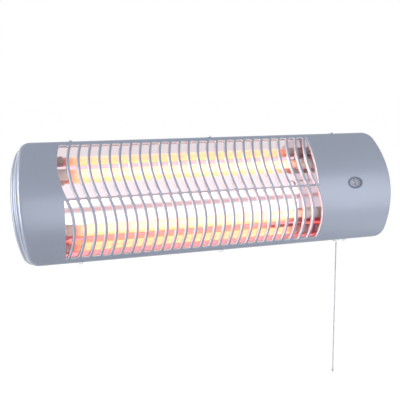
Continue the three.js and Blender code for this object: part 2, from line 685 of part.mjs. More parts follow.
// ---- brackets -----------------------------------------------------------------------------------
// A pair of ears, each from a foot at y0 round the pivot at `pivotY`, with outer faces at +-outer.
function ears(y0, pivotY, radius, outer) {
  const side = Math.sign(pivotY - y0);
  const round = arc(pivotY, 0, side * radius, (-side * Math.PI) / 2, (side * Math.PI) / 2, 14);
  const outline = [[y0, -EAR_FOOT], ...round, [y0, EAR_FOOT]];
  return join(
    solid(prismX(outline, outer - BRACKET_WALL, outer)),
    solid(prismX(outline, -outer, BRACKET_WALL - outer)),
  );
}

function wallBracket() {
  const plate = box(
    [-BRACKET_HALF, BRACKET_HALF],
    [-BRACKET_WALL, 0],
    [-BRACKET_HALF_HEIGHT, BRACKET_HALF_HEIGHT],
  );
  const pair = ears(-0.5, -PIVOT_STANDOFF, EAR_RADIUS, BRACKET_HALF);
  const bore = rod("x", BOLT_RADIUS + GAP, -BRACKET_HALF - 5, BRACKET_HALF + 5);
  bore.translate(0, -PIVOT_STANDOFF, 0);
  const wallHoles = WALL_HOLE_X.map((x) => backRod(WALL_HOLE_RADIUS, -5, 5, x, 0, 18));
  return cut(join(solid(plate), pair), solid(bore), ...wallHoles);
}

function tiltBracket() {
  const foot = -BACK_STANDOFF + GAP;
  const plate = box(
    [-TILT_EAR_X, TILT_EAR_X],
    [foot, foot + BRACKET_WALL],
    [-BRACKET_HALF_HEIGHT, BRACKET_HALF_HEIGHT],
  );
  const pair = ears(foot + 0.5, 0, EAR_RADIUS - 0.5, TILT_EAR_X);
  const bore = rod("x", BOLT_RADIUS + GAP, -BRACKET_HALF, BRACKET_HALF);
  const holes = placesOn(TILT_SCREW_X, TILT_SCREW_Z).map(([x, z]) =>
    backRod(TILT_SCREW_RADIUS + GAP, foot - 2, foot + 5, x, z),
  );
  return cut(join(solid(plate), pair), solid(bore), ...holes);
}

function pivotBolt() {
  const head = TILT_EAR_X - BRACKET_WALL - GAP;
  return join(
    solid(rod("x", 4.5, head - 3, head, 6)),
    solid(rod("x", BOLT_RADIUS, head - 0.1, BRACKET_HALF + NUT_WIDTH + 3, 14)),
  );
}

function wingNut() {
  const start = BRACKET_HALF + GAP;
  const wing = box([start + 1, start + NUT_WIDTH + 2], [-1, 1], [3.5, 14]);
  return cut(
    join(
      solid(rod("x", 5, start, start + NUT_WIDTH, 18)),
      solid(wing),
      solid(wing.clone().rotateX(Math.PI)),
    ),
    solid(rod("x", BOLT_RADIUS + GAP, start - 1, start + NUT_WIDTH + 3)),
  );
}

// ---- assembly -----------------------------------------------------------------------------------
const heater = new THREE.Group();
const housing = new THREE.Group();
housing.position.set(0, -PIVOT_STANDOFF, 0);
housing.rotation.x = -REST_TILT;
heater.add(housing);

function place(parent, name, shape, material, position = [0, 0, 0], rotation = [0, 0, 0]) {
  const geometry = shape.isBufferGeometry ? shape : geometryOf(shape);
  const mesh = new THREE.Mesh(geometry, material);
  mesh.name = name;
  mesh.position.set(...position);
  mesh.rotation.set(...rotation);
  parent.add(mesh);
}

const SIDES = { left: -1, right: 1 };
const ROWS = { top: 1, bottom: -1 };

function addBrackets() {
  place(heater, "wall_bracket", wallBracket(), ZINC);
  for (const [side, sign] of Object.entries(SIDES)) {
    const turn = sign > 0 ? [0, 0, 0] : [0, 0, Math.PI];
    place(heater, `pivot_bolt_${side}`, pivotBolt(), ZINC, [0, -PIVOT_STANDOFF, 0], turn);
    place(heater, `wing_nut_${side}`, wingNut(), ZINC, [0, -PIVOT_STANDOFF, 0], turn);
  }
  place(housing, "tilt_bracket", tiltBracket(), ZINC);
  placesOn(TILT_SCREW_X, TILT_SCREW_Z).forEach(([x, z], i) => {
    const seat = -BACK_STANDOFF + 2 * GAP + BRACKET_WALL;
    const shape = screw(3.4, 2, TILT_SCREW_RADIUS, BRACKET_WALL + SHELL_WALL + 3);
    place(housing, `tilt_screw_${i + 1}`, shape, ZINC, [x, seat, z], [0, 0, Math.PI]);
  });
}

function addCasing() {
  place(housing, "front_panel", frontPanel(), SILVER_PAINT);
  place(housing, "rear_shell", rearShell(), SILVER_PAINT);
  const [head, headHeight] = SCREW_HEAD;
  for (const [row, sign] of Object.entries(ROWS)) {
    COVER_SCREW_X.forEach((x, i) => {
      const seat = sign * (HALF_HEIGHT + GAP);
      const shape = screw(head, headHeight, SCREW_RADIUS, COVER_SCREW_LENGTH);
      const turn = (sign * Math.PI) / 2;
      const position = [x, at(COVER_SCREW_DEPTH), seat];
      place(housing, `cover_screw_${row}_${i + 1}`, shape, ZINC, position, [-turn, 0, 0]);
    });
  }
}

function addReflector() {
  place(housing, "reflector", reflector(), MIRROR, [GRILLE_X, 0, 0]);
  for (const [side, sign] of Object.entries(SIDES)) {
    const x = GRILLE_X + (sign > 0 ? PLATE_START : -PLATE_START - REFLECTOR_WALL);
    place(housing, `reflector_end_${side}`, reflectorEnd(), MIRROR, [x, 0, 0]);
  }
  placesOn(BOSS_X, [-TUBE_Z, TUBE_Z]).forEach(([x, z], i) => {
    const position = [GRILLE_X + x, at(TROUGH_DEPTH) - GAP, z];
    place(housing, `reflector_screw_${i + 1}`, screw(2.8, 1.4, SCREW_RADIUS, 4.4), ZINC, position);
  });
}

function addTubes() {
  for (const [row, sign] of Object.entries(ROWS)) {
    const centre = [GRILLE_X, at(TUBE_DEPTH), sign * TUBE_Z];
    place(housing, `quartz_tube_${row}`, quartzTube(), QUARTZ, centre);
    place(housing, `heating_coil_${row}`, heatingCoil(), COIL_WIRE, centre);
    place(housing, `tube_cap_${row}_right`, tubeCap(), CERAMIC, centre);
    place(housing, `tube_cap_${row}_left`, tubeCap(), CERAMIC, centre, [0, 0, Math.PI]);
  }
}

// A lead's points are given as x, depth behind the crown, z. It leaves both ends square.
const lead = (points) => wire(points.map(([x, depth, z]) => [x, at(depth), z]), LEAD_RADIUS);

function addWiring() {
  const right = GRILLE_X + TAIL_END + GAP;
  const left = GRILLE_X - TAIL_END - GAP;
  const middle = SWITCH_X + SWITCH_WIDTH / 2;
  const end = SWITCH_HALF_HEIGHT + GAP;
  const block = TERMINALS_X[0] - GAP;
  const deep = BODY_DEPTH - 5;
  const leads = {
    lead_top: [
      [right, TUBE_DEPTH, TUBE_Z],
      [right + STUB, TUBE_DEPTH, TUBE_Z],
      [middle - 12, 22, TUBE_Z + 4],
      [middle - 3, 19, end + 6],
      [middle, 18, end + STUB],
      [middle, 18, end],
    ],
    lead_bottom: [
      [right, TUBE_DEPTH, -TUBE_Z],
      [right + STUB, TUBE_DEPTH, -TUBE_Z],
      [right + 8, deep - 4, -TUBE_Z - 2],
      [CORD_X, deep + 0.5, -end - 10],
      [middle + 10, deep, -end - 8],
      [block - STUB, deep - 2, -end - 7],
      [block, deep - 2, -end - 7],
    ],
    lead_switch: [
      [middle, 18, -end],
      [middle, 18, -end - STUB],
      [middle + 7, 22, -end - 8],
      [block - 4, deep - 6, -end - 3],
      [block - STUB, deep - 5, -end - 3],
      [block, deep - 5, -end - 3],
    ],
  };
  for (const [row, sign] of Object.entries(ROWS)) {
    const shoulder = sign * (CUTOUT_RADIUS + GAP);
    leads[`jumper_lead_${row}`] = [
      [left, TUBE_DEPTH, sign * TUBE_Z],
      [left - STUB, TUBE_DEPTH, sign * TUBE_Z],
      [CUTOUT_X - 1, TUBE_DEPTH + 3, sign * (TUBE_Z - 8)],
      [CUTOUT_X, deep - 1, shoulder + sign * 6],
      [CUTOUT_X, deep - 0.5, shoulder + sign * STUB],
      [CUTOUT_X, deep - 0.5, shoulder],
    ];
  }
  for (const [name, points] of Object.entries(leads)) place(housing, name, lead(points), SLEEVE);
  const cutout = backRod(CUTOUT_RADIUS, BACK - CUTOUT_HEIGHT, FLOOR, CUTOUT_X, 0, 24);
  place(housing, "thermal_cutout", cutout, GREY_PLASTIC);
  place(housing, "terminal_block", terminalBlock(), WHITE_NYLON);
  place(housing, "inlet_grommet", inletGrommet(), BLACK_RUBBER, [INLET_X, 0, INLET_Z]);
  const clamp = box([INLET_X - 9, INLET_X + 9], [FLOOR - 6, FLOOR], [INLET_Z - 18, INLET_Z - 11]);
  place(housing, "inlet_clamp", clamp, WHITE_NYLON);
}

function addSwitch() {
  const axis = at(DRUM_DEPTH);
  const shaftEnds = [SLIDER_X[0] - 1.5, WINDOW_X + DRUM_WIDTH / 2 + 1.5];
  place(housing, "window_bezel", windowBezel(), GREY_PLASTIC);
  place(housing, "window_lens", windowLens(), CLEAR);
  place(housing, "switch_body", switchBody(), WHITE_NYLON);
  place(housing, "drum_shaft", rod("x", SHAFT_RADIUS, ...shaftEnds), ZINC, [0, axis, 0]);
  place(housing, "ratchet_wheel", ratchetWheel(), WHITE_NYLON, [SLIDER_X[0], axis, 0]);
  place(housing, "number_drum", numberDrum(), GREY_PLASTIC, [WINDOW_X, axis, 0]);
  place(housing, "pull_slider", pullSlider(), WHITE_NYLON);
  place(housing, "return_spring", returnSpring(), ZINC, [CORD_X, at(CORD_DEPTH), 0]);
}

function addPullCord() {
  const hole = [CORD_X, at(CORD_DEPTH), 0];
  const swing = new THREE.Vector3(CORD_X, at(CORD_DEPTH), CORD_EXIT_Z - KINK);
  const inner = rod("z", CORD_RADIUS, swing.z + KINK, SLIDER_Z[0] - GAP, 8);
  place(housing, "cord_bushing", cordBushing(), WHITE_NYLON, hole);
  place(housing, "pull_cord_inner", inner, WHITE_NYLON, hole);
  housing.updateMatrixWorld(true);
  housing.localToWorld(swing);
  const [knotRadius, knotHeight] = KNOT;
  const cord = wire([[0, 0, -KINK], [0, 0, -CORD_LENGTH / 2], [0, 0, -CORD_LENGTH]], CORD_RADIUS, 8, 40);
  const knot = new THREE.SphereGeometry(knotRadius, 12, 8).rotateX(Math.PI / 2);
  knot.scale(1, 1, knotHeight / 2 / knotRadius);
  knot.translate(0, 0, -CORD_LENGTH - GAP - knotHeight / 2);
  place(heater, "pull_cord", cord, WHITE_NYLON, swing.toArray());
  place(heater, "cord_knot", knot, WHITE_NYLON, swing.toArray());
}

addBrackets();
addCasing();
addReflector();
addTubes();
addWiring();
addSwitch();
addPullCord();

export default heater;
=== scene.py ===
"""Wall-mounted quartz bar heater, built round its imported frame: a slatted silver front over two
glowing tubes in a polished double reflector, a pull-cord switch and a tilting wall bracket."""

import math

import bmesh
import bpy
from bpy.props import FloatProperty, FloatVectorProperty, IntProperty, PointerProperty
from mathutils import Matrix, Vector
from mathutils.geometry import delaunay_2d_cdt


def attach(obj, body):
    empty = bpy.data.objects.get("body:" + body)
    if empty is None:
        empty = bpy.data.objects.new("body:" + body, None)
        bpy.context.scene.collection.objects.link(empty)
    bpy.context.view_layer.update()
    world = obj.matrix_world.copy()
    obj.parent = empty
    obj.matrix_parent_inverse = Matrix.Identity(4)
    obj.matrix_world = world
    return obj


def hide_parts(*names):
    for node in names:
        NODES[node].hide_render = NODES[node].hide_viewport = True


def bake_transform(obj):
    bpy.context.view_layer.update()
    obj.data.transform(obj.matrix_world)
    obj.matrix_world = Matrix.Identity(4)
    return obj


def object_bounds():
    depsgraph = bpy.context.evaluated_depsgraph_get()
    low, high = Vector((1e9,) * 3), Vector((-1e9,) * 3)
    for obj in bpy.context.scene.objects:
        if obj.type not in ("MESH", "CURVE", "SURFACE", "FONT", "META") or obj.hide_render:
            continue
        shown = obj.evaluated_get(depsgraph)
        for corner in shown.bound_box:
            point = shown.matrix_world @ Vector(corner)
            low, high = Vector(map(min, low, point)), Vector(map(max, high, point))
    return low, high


bl_info = {
    "name": "Quartz Bar Heater",
    "version": (1, 0, 0),
    "blender": (4, 5, 0),
    "location": "View3D > Sidebar > Heater",
    "description": "Builds the detailed pieces and finishes of a wall-mounted quartz bar heater",
    "category": "Object",
}

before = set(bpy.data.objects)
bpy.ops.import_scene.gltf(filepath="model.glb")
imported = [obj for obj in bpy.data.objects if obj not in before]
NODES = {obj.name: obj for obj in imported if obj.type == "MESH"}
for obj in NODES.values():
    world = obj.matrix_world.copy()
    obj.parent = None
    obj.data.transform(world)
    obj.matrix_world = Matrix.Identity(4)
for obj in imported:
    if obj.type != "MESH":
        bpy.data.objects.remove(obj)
CAD_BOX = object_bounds()

# ---- places shared with the frame, in millimetres ------------------------------------------------
MM = 0.001
PIVOT_Y = -28.0
HOUSING_FRONT = -58.0  # the front's crown, in the housing's own frame
REST_TILT = math.radians(16)
HALF_LENGTH = 237.5
HALF_HEIGHT = 68.5
SAGITTA = 19.5
FRONT_RADIUS = (HALF_HEIGHT**2 + SAGITTA**2) / (2 * SAGITTA)
END_RADIUS = 215.0
CORNER_RADIUS = 14.0
BODY_DEPTH = 44.0
WALL = 1.2
FLANGE_DEPTH = 8.0
GRILLE_X = -28.5
GRILLE_HALF = 159.4
BARS = 26
ROW_MARGIN = 5.9  # from the ends of the slots to the panel's edge
ROW_END = FRONT_RADIUS * math.asin(HALF_HEIGHT / FRONT_RADIUS) - ROW_MARGIN
SLOT_CORNER = 1.5
WINDOW_X = 183.7
WINDOW_HALF = (9.6, 6.6)  # half its width and half its height
DRUM_RADIUS = 10.6
DRUM_DEPTH = 14.2
TUBE_Z = 31.5
TUBE_DEPTH = 27.0
TUBE_HALF = 155.0
COIL_LENGTH = 288.0
INLET = (208.0, 14.0)  # x and z of the mains inlet in the back
CORD_X = 164.7
CORD_DEPTH = 32.0
CORD_EXIT_Z = -69.9  # below the bushing
KINK = 0.5  # from the cord's swing point to the end of each stretch

HOUSING = (
    Matrix.Translation((0, PIVOT_Y * MM, 0))
    @ Matrix.Rotation(-REST_TILT, 4, "X")
    @ Matrix.Scale(MM, 4)
)
HOUSING_INVERSE = HOUSING.inverted()
UPRIGHT = Matrix.Identity(4)
ALONG_X = Matrix.Rotation(math.pi / 2, 4, "Y")


def at(depth):
    """The y of a depth behind the front's crown."""
    return HOUSING_FRONT + depth


def arc_depth(z):
    """How far the front has curved back at height z."""
    return FRONT_RADIUS - math.sqrt(FRONT_RADIUS**2 - z * z)


def on_front(x, along, depth=0.0):
    """The point `along` the curved front from its middle, `depth` behind its surface."""
    angle = along / FRONT_RADIUS
    radius = FRONT_RADIUS - depth
    y = at(0) + FRONT_RADIUS - radius * math.cos(angle)
    return Vector((x, y, radius * math.sin(angle)))


# ---- sizes and colours a user would change -------------------------------------------------------
def linear(code):
    """An sRGB hex colour as linear red, green and blue."""
    parts = [int(code[i : i + 2], 16) / 255 for i in (1, 3, 5)]
    return [c / 12.92 if c <= 0.04045 else ((c + 0.055) / 1.055) ** 2.4 for c in parts]


def length(name, description, millimetres):
    return FloatProperty(
        name=name, description=description, default=millimetres * MM, min=0, unit="LENGTH"
    )


def colour(name, description, code):
    return FloatVectorProperty(
        name=name, description=description, default=linear(code), size=3, subtype="COLOR",
        min=0, max=1,
    )


class HEATER_PG_panel(bpy.types.PropertyGroup):
    """The pressed front."""

    pitch: length("Bar pitch", "From one bar to the next", 12)
    bar_width: length("Bar width", "Width of a bar", 3.4)
    bar_sweep: length("Bar sweep", "Sideways bow of a bar", 6.6)
    middle_bar: length("Middle bar", "Width of the bar between the rows", 2.2)
    rim: length("Rim", "Radius of a slot's rolled rim", 1.55)
    rim_depth: length("Rim depth", "How far a slot's rim is turned in", 4.2)
    fold: length("Fold", "Radius of the fold round the front", 3.3)
    paint: colour("Paint", "Silver paint of the housing", "#888F9F")


class HEATER_PG_tubes(bpy.types.PropertyGroup):
    """The quartz tubes and their coils."""

    radius: length("Tube radius", "Outside radius of a quartz tube", 5)
    coil_radius: length("Coil radius", "Outside radius of the wound wire", 2.7)
    wire_radius: length("Wire radius", "Radius of the wire", 0.35)
    turns: IntProperty(name="Turns", description="Turns of a coil", default=110, min=2)
    glow: FloatProperty(name="Glow", description="Strength of a lit tube", default=1.0, min=0)
    hot: colour("Hot colour", "Colour of a tube's lit middle", "#FFBC72")
    warm: colour("Warm colour", "Colour of a tube's lit edges", "#FF9C70")


class HEATER_PG_cord(bpy.types.PropertyGroup):
    """The pull cord."""

    radius: length("Cord radius", "Radius of the pull cord", 0.8)
    hang: length("Hanging length", "From the swing point to the knot", 170.5)
    colour: colour("Cord colour", "Colour of the braid", "#B9B9C4")


class HEATER_PG_stage(bpy.types.PropertyGroup):
    """The camera and the room."""

    azimuth: FloatProperty(
        name="Azimuth", description="Camera's turn round the heater",
        default=math.radians(-22.28), subtype="ANGLE",
    )
    elevation: FloatProperty(
        name="Elevation", description="Camera's height over the horizon",
        default=math.radians(8.81), subtype="ANGLE",
    )
    distance: length("Distance", "Camera to the point it looks at", 916.2)
    lens: FloatProperty(name="Lens", description="Focal length", default=70.84, unit="CAMERA")
    floor: colour("Floor colour", "Colour of the floor", "#F4F4F4")


GROUPS = {
    "heater_panel": HEATER_PG_panel,
    "heater_tubes": HEATER_PG_tubes,
    "heater_cord": HEATER_PG_cord,
    "heater_stage": HEATER_PG_stage,
}


# ---- meshes --------------------------------------------------------------------------------------
def cleaned(mesh, merge=None, flat=None):
    """Merges doubles within `merge`, dissolves edges flat to `flat` degrees, turns faces outwards."""
    build = bmesh.new()
    build.from_mesh(mesh)
    if merge:
        bmesh.ops.remove_doubles(build, verts=build.verts, dist=merge)
    if flat:
        limit = math.radians(flat)
        bmesh.ops.dissolve_limit(build, angle_limit=limit, verts=build.verts, edges=build.edges)
    bmesh.ops.recalc_face_normals(build, faces=build.faces)
    build.to_mesh(mesh)
    build.free()
    return mesh


def placed(name, data):
    """A new object in the scene."""
    made = bpy.data.objects.new(name, data)
    bpy.context.scene.collection.objects.link(made)
    return made


def settled(source):
    """The plain mesh of a helper object as it is seen, with the helper removed."""
    graph = bpy.context.evaluated_depsgraph_get()
    mesh = bpy.data.meshes.new_from_object(source.evaluated_get(graph))
    bpy.data.objects.remove(source)
    return mesh


def link(name, data, key, body, smooth=35):
    """A finished piece in the scene, on its body if it rides on just one."""
    piece = placed(name, data)
    data.materials.clear()
    data.materials.append(finish_of(key))
    if isinstance(data, bpy.types.Mesh):
        data.shade_smooth()
        data.set_sharp_from_angle(angle=math.radians(smooth))
    if body:
        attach(piece, body)
    return piece


class Shell:
    """Loops of points and the faces between them, made into one closed mesh."""

    def __init__(self):
        self.points = []
        self.faces = []

    def loop(self, points):
        start = len(self.points)
        self.points.extend(Vector(p) for p in points)
        return list(range(start, len(self.points)))

    def band(self, a, b):
        for i in range(len(a)):
            j = (i + 1) % len(a)
            self.faces.append((a[i], a[j], b[j], b[i]))

    def bands(self, loops):
        for a, b in zip(loops, loops[1:]):
            self.band(a, b)

    def cap(self, a):
        self.faces.append(tuple(a))

    def mesh(self, name, merge=None):
        mesh = bpy.data.meshes.new(name)
        mesh.from_pydata(self.points, [], self.faces)
        return cleaned(mesh, merge)

    def piece(self, name, key, body, place=HOUSING, smooth=35):
        mesh = self.mesh(name, merge=1e-4)
        mesh.transform(place)
        return link(name, mesh, key, body, smooth)


def ring(radius, along, sides):
    """A circle about the z axis."""
    steps = [2 * math.pi * i / sides for i in range(sides)]
    return [(radius * math.cos(a), radius * math.sin(a), along) for a in steps]


def rounded(profile, radius, steps=3, closed=False):
    """The profile with each inner corner rounded."""
    out = []
    count = len(profile)
    for i, point in enumerate(profile):
        here = Vector(point)
        if not closed and i in (0, count - 1):
            out.append(tuple(here))
            continue
        before = Vector(profile[i - 1]) - here
        after = Vector(profile[(i + 1) % count]) - here
        reach = min(radius, before.length * 0.45, after.length * 0.45)
        a = here + before.normalized() * reach
        b = here + after.normalized() * reach
        for k in range(steps + 1):
            t = k / steps
            out.append(tuple(a.lerp(here, t).lerp(here.lerp(b, t), t)))
    return out


def turned(profile, place, sides):
    """A turned solid from (radius, along) pairs, capped at both ends."""
    shell = Shell()
    loops = [shell.loop(place @ Vector(p) for p in ring(r, a, sides)) for r, a in profile]
    shell.bands(loops)
    shell.cap(loops[0])
    shell.cap(loops[-1])
    return shell


def turned_ring(section, radius, steps, place, sides):
    """A ring turned from a closed (radius, along) section whose corners are rounded."""
    shell = Shell()
    profile = rounded(section, radius, steps, closed=True)
    loops = [shell.loop(place @ Vector(p) for p in ring(r, a, sides)) for r, a in profile]
    shell.bands(loops + loops[:1])
    return shell


def inside(point, polygon):
    """True if the point is in the polygon."""
    x, y = point
    hit = False
    for (ax, ay), (bx, by) in zip(polygon, polygon[1:] + polygon[:1]):
        if (ay > y) != (by > y) and x < (bx - ax) * (y - ay) / (by - ay) + ax:
            hit = not hit
    return hit


def fill(edge, holes, extra=()):
    """Triangles between an outline and its holes, as indices into edge + holes + extra."""
    points = []
    owner = []
    links = []
    for which, loop in enumerate([edge, *holes]):
        start = len(points)
        points.extend(loop)
        owner.extend([which] * len(loop))
        links.extend((start + i, start + (i + 1) % len(loop)) for i in range(len(loop)))
    points.extend(extra)
    owner.extend([-1] * len(extra))
    result = delaunay_2d_cdt([Vector(p) for p in points], links, [], 1, 1e-5)
    source = [ids[0] for ids in result[3]]
    triangles = []
    for face in result[2]:
        ids = [source[i] for i in face]
        owners = {owner[i] for i in ids}
        middle = sum((Vector(points[i]) for i in ids), Vector((0, 0))) / 3
        if len(owners) == 1 and min(owners) > 0 and inside(middle, holes[min(owners) - 1]):
            continue
        triangles.append(ids)
    return triangles


# ---- finishes ------------------------------------------------------------------------------------
def node(tree, kind, inputs=None, **settings):
    """Adds a node with its settings. An input is a value, a socket, or a node, whose first output
    is then meant."""
    made = tree.nodes.new(kind)
    for key, value in settings.items():
        setattr(made, key, value)
    for key, value in (inputs or {}).items():
        if isinstance(value, bpy.types.Node):
            value = value.outputs[0]
        if isinstance(value, bpy.types.NodeSocket):
            tree.links.new(value, made.inputs[key])
        else:
            made.inputs[key].default_value = value
    return made


def blank(name):
    """A new material with an empty tree, its tree and the place on the piece."""
    made = bpy.data.materials.new(name)
    made.use_nodes = True
    made.node_tree.nodes.clear()
    return made, made.node_tree, node(made.node_tree, "ShaderNodeTexCoord").outputs["Object"]


def shaded(base, share=1.0):
    """A colour, or its hex code, lightened or darkened and with its alpha."""
    base = linear(base) if isinstance(base, str) else base
    return (*[min(1.0, c * share) for c in base], 1.0)


def grain(tree, place, size, stretch=(1, 1, 1), detail=3.0):
    """Noise whose lumps are `size` mm across."""
    mapped = node(tree, "ShaderNodeMapping", {"Vector": place, "Scale": stretch})
    settings = {"Vector": mapped, "Scale": 1 / (size * MM), "Detail": detail}
    return node(tree, "ShaderNodeTexNoise", settings).outputs["Fac"]


def housing_place(tree, place):
    """The place in the housing's own upright frame, in metres, as its three outputs."""
    pivot = Matrix.Rotation(REST_TILT, 3, "X") @ Vector((0, PIVOT_Y * MM, 0))
    settings = {"Vector": place, "Location": -pivot, "Rotation": (REST_TILT, 0, 0)}
    local = node(tree, "ShaderNodeMapping", settings)
    return node(tree, "ShaderNodeSeparateXYZ", {0: local}).outputs


def within(tree, value, middle, inner, outer, fade="LINEAR"):
    """1 up to `inner` mm from `middle` mm, falling to 0 at `outer` mm."""
    off = node(tree, "ShaderNodeMath", {0: value, 1: middle * MM}, operation="SUBTRACT")
    off = node(tree, "ShaderNodeMath", {0: off}, operation="ABSOLUTE")
    span = {"Value": off, "From Min": inner * MM, "From Max": outer * MM, "To Min": 1.0,
            "To Max": 0.0}
    return node(tree, "ShaderNodeMapRange", span, interpolation_type=fade)


def finish(name, base, roughness, size, mottle, relief=0.0, **shader):
    """A surface whose colour, roughness and relief vary with a grain of that size in mm, and whose
    colour also drifts a little over some 70 mm."""
    made, tree, place = blank(name)
    fine = grain(tree, place, size)
    broad = grain(tree, place, 70, detail=1.0)
    tones = {0: fine, 6: shaded(base, 1 - mottle), 7: shaded(base, 1 + mottle)}
    speckled = node(tree, "ShaderNodeMix", tones, data_type="RGBA").outputs[2]
    drift = node(tree, "ShaderNodeMapRange", {"Value": broad, "To Min": 0.97, "To Max": 1.03})
    hue = node(tree, "ShaderNodeVectorMath", {0: speckled, "Scale": drift}, operation="SCALE")
    span = {"Value": fine, "From Min": 0.3, "From Max": 0.7, "To Min": roughness * 0.85,
            "To Max": min(1.0, roughness * 1.15)}
    inputs = {"Base Color": hue, "Roughness": node(tree, "ShaderNodeMapRange", span)}
    if relief:
        bumps = {"Height": fine, "Strength": 1.0, "Distance": relief * MM}
        inputs["Normal"] = node(tree, "ShaderNodeBump", bumps)
    for key, value in shader.items():
        inputs[key.replace("_", " ")] = value
    surface = node(tree, "ShaderNodeBsdfPrincipled", inputs)
    node(tree, "ShaderNodeOutputMaterial", {"Surface": surface})
    return made


def clear_plastic(name):
    """Clear polycarbonate, moulded with a hazy back: it passes light, scatters some of it and
    mirrors a little."""
    made, tree, place = blank(name)
    haze = grain(tree, place, 1.5)
    rough = node(tree, "ShaderNodeMapRange", {"Value": haze, "To Min": 0.03, "To Max": 0.09})
    gloss = node(tree, "ShaderNodeBsdfGlossy", {"Roughness": rough})
    clear = node(tree, "ShaderNodeBsdfTransparent", {"Color": shaded("#EEF1F6")})
    misty = node(tree, "ShaderNodeBsdfDiffuse", {"Color": shaded("#E2E8F4")})
    through = node(tree, "ShaderNodeMixShader", {0: 0.17, 1: clear, 2: misty})
    share = node(tree, "ShaderNodeFresnel", {"IOR": 1.3})
    mix = node(tree, "ShaderNodeMixShader", {0: share, 1: through, 2: gloss})
    node(tree, "ShaderNodeOutputMaterial", {"Surface": mix})
    return made


# Strips of the reflector painted pink, a painted reflection of the tubes' red glow; the strip at
# 39.3 mm is darker, painted shade that dims the room and lamp mirrored there. The middle of a strip
# and half its height, in mm of the housing's own height, and its colour.
PAINTED_GLOW_STRIPS = (
    (39.3, 3.2, "#A68D94"),
    (-8.5, 1.3, "#E0B8BE"),
    (-42.5, 3.7, "#EEA0AC"),
    (-61, 5.5, "#F09CA2"),
)


def mirror_sheet(name):
    """Aluminium sheet, rolled, mirror-polished and lacquered, with long faint rolling lines. Its
    colour is a faint pink, and strips along the facets that face the tubes are pinker: a painted
    reflection of the tubes' red glow. The strip at 39.3 mm is darker, painted shade on what the sheet
    mirrors."""
    made, tree, place = blank(name)
    height = housing_place(tree, place)["Z"]
    # The whole sheet painted a faint pink and the strips pinker: painted reflection of the tubes'
    # glow, and at 39.3 mm painted shade.
    hue = shaded("#E0D5D9")
    for middle, half, tint in PAINTED_GLOW_STRIPS:
        strip = within(tree, height, middle, half, half + 0.5)
        tones = {0: strip, 6: hue, 7: shaded(tint)}
        hue = node(tree, "ShaderNodeMix", tones, data_type="RGBA").outputs[2]
    lines = grain(tree, place, 0.5, (0.03, 1, 1))
    rough = node(tree, "ShaderNodeMapRange", {"Value": lines, "To Min": 0.05, "To Max": 0.07})
    bump = node(tree, "ShaderNodeBump", {"Height": lines, "Strength": 1.0, "Distance": 0.002 * MM})
    inputs = {"Base Color": hue, "Metallic": 1.0, "Roughness": rough, "Normal": bump}
    surface = node(tree, "ShaderNodeBsdfPrincipled", inputs)
    node(tree, "ShaderNodeOutputMaterial", {"Surface": surface})
    return made


def glowing_quartz(name, sizes, middle):
    """Fused quartz, drawn and left clear, round a white-hot coil: the light fills the wall, paler
    where the coil lies and redder at its ends and towards its edges."""
    made, tree, place = blank(name)
    local = housing_place(tree, place)
    height = node(tree, "ShaderNodeMath", {0: local["Z"], 1: middle * MM}, operation="SUBTRACT")
    share = node(tree, "ShaderNodeMath", {0: height, 1: sizes.radius}, operation="DIVIDE")
    across = node(tree, "ShaderNodeMath", {0: share}, operation="ABSOLUTE")
    lit = within(tree, local["X"], GRILLE_X, 125, 151, "SMOOTHSTEP")
    span = {"Value": across, "From Min": 0.55, "From Max": 1.0, "To Min": 0.0, "To Max": 0.75}
    tones = {0: node(tree, "ShaderNodeMapRange", span), 6: (*sizes.hot, 1), 7: (*sizes.warm, 1)}
    hue = node(tree, "ShaderNodeMix", tones, data_type="RGBA").outputs[2]
    tones = {0: lit, 6: shaded("#FF5A3C"), 7: hue}
    hue = node(tree, "ShaderNodeMix", tones, data_type="RGBA").outputs[2]
    dim = node(tree, "ShaderNodeMath", {0: lit, 1: 0.05}, operation="ADD")
    power = node(tree, "ShaderNodeMath", {0: dim, 1: 1.5 * sizes.glow}, operation="MULTIPLY")
    haze = grain(tree, place, 3.0, (0.3, 1, 1))
    rough = node(tree, "ShaderNodeMapRange", {"Value": haze, "To Min": 0.08, "To Max": 0.2})
    inputs = {"Base Color": shaded("#D9D2CC"), "Roughness": rough, "Emission Color": hue,
              "Emission Strength": power}
    surface = node(tree, "ShaderNodeBsdfPrincipled", inputs)
    through = node(tree, "ShaderNodeBsdfTransparent")
    mix = node(tree, "ShaderNodeMixShader", {0: 0.35, 1: surface, 2: through})
    node(tree, "ShaderNodeOutputMaterial", {"Surface": mix})
    return made


def glowing_wire(name, sizes):
    """Iron-chrome resistance wire, drawn and oxidised: nearly white-hot, dull red at its ends."""
    made, tree, place = blank(name)
    lit = within(tree, housing_place(tree, place)["X"], GRILLE_X, 129, 149, "SMOOTHSTEP")
    tones = {0: grain(tree, place, 0.8), 6: shaded("#5A2A20"), 7: shaded("#8A4A38")}
    metal = node(tree, "ShaderNodeMix", tones, data_type="RGBA").outputs[2]
    tones = {0: lit, 6: shaded("#D2301C"), 7: shaded("#FFC08A")}
    hue = node(tree, "ShaderNodeMix", tones, data_type="RGBA").outputs[2]
    strong = node(tree, "ShaderNodeMath", {0: lit, 1: 5.0 * sizes.glow}, operation="MULTIPLY")
    power = node(tree, "ShaderNodeMath", {0: strong, 1: 0.25}, operation="ADD")
    inputs = {"Base Color": metal, "Roughness": 0.6, "Emission Color": hue,
              "Emission Strength": power}
    surface = node(tree, "ShaderNodeBsdfPrincipled", inputs)
    node(tree, "ShaderNodeOutputMaterial", {"Surface": surface})
    return made


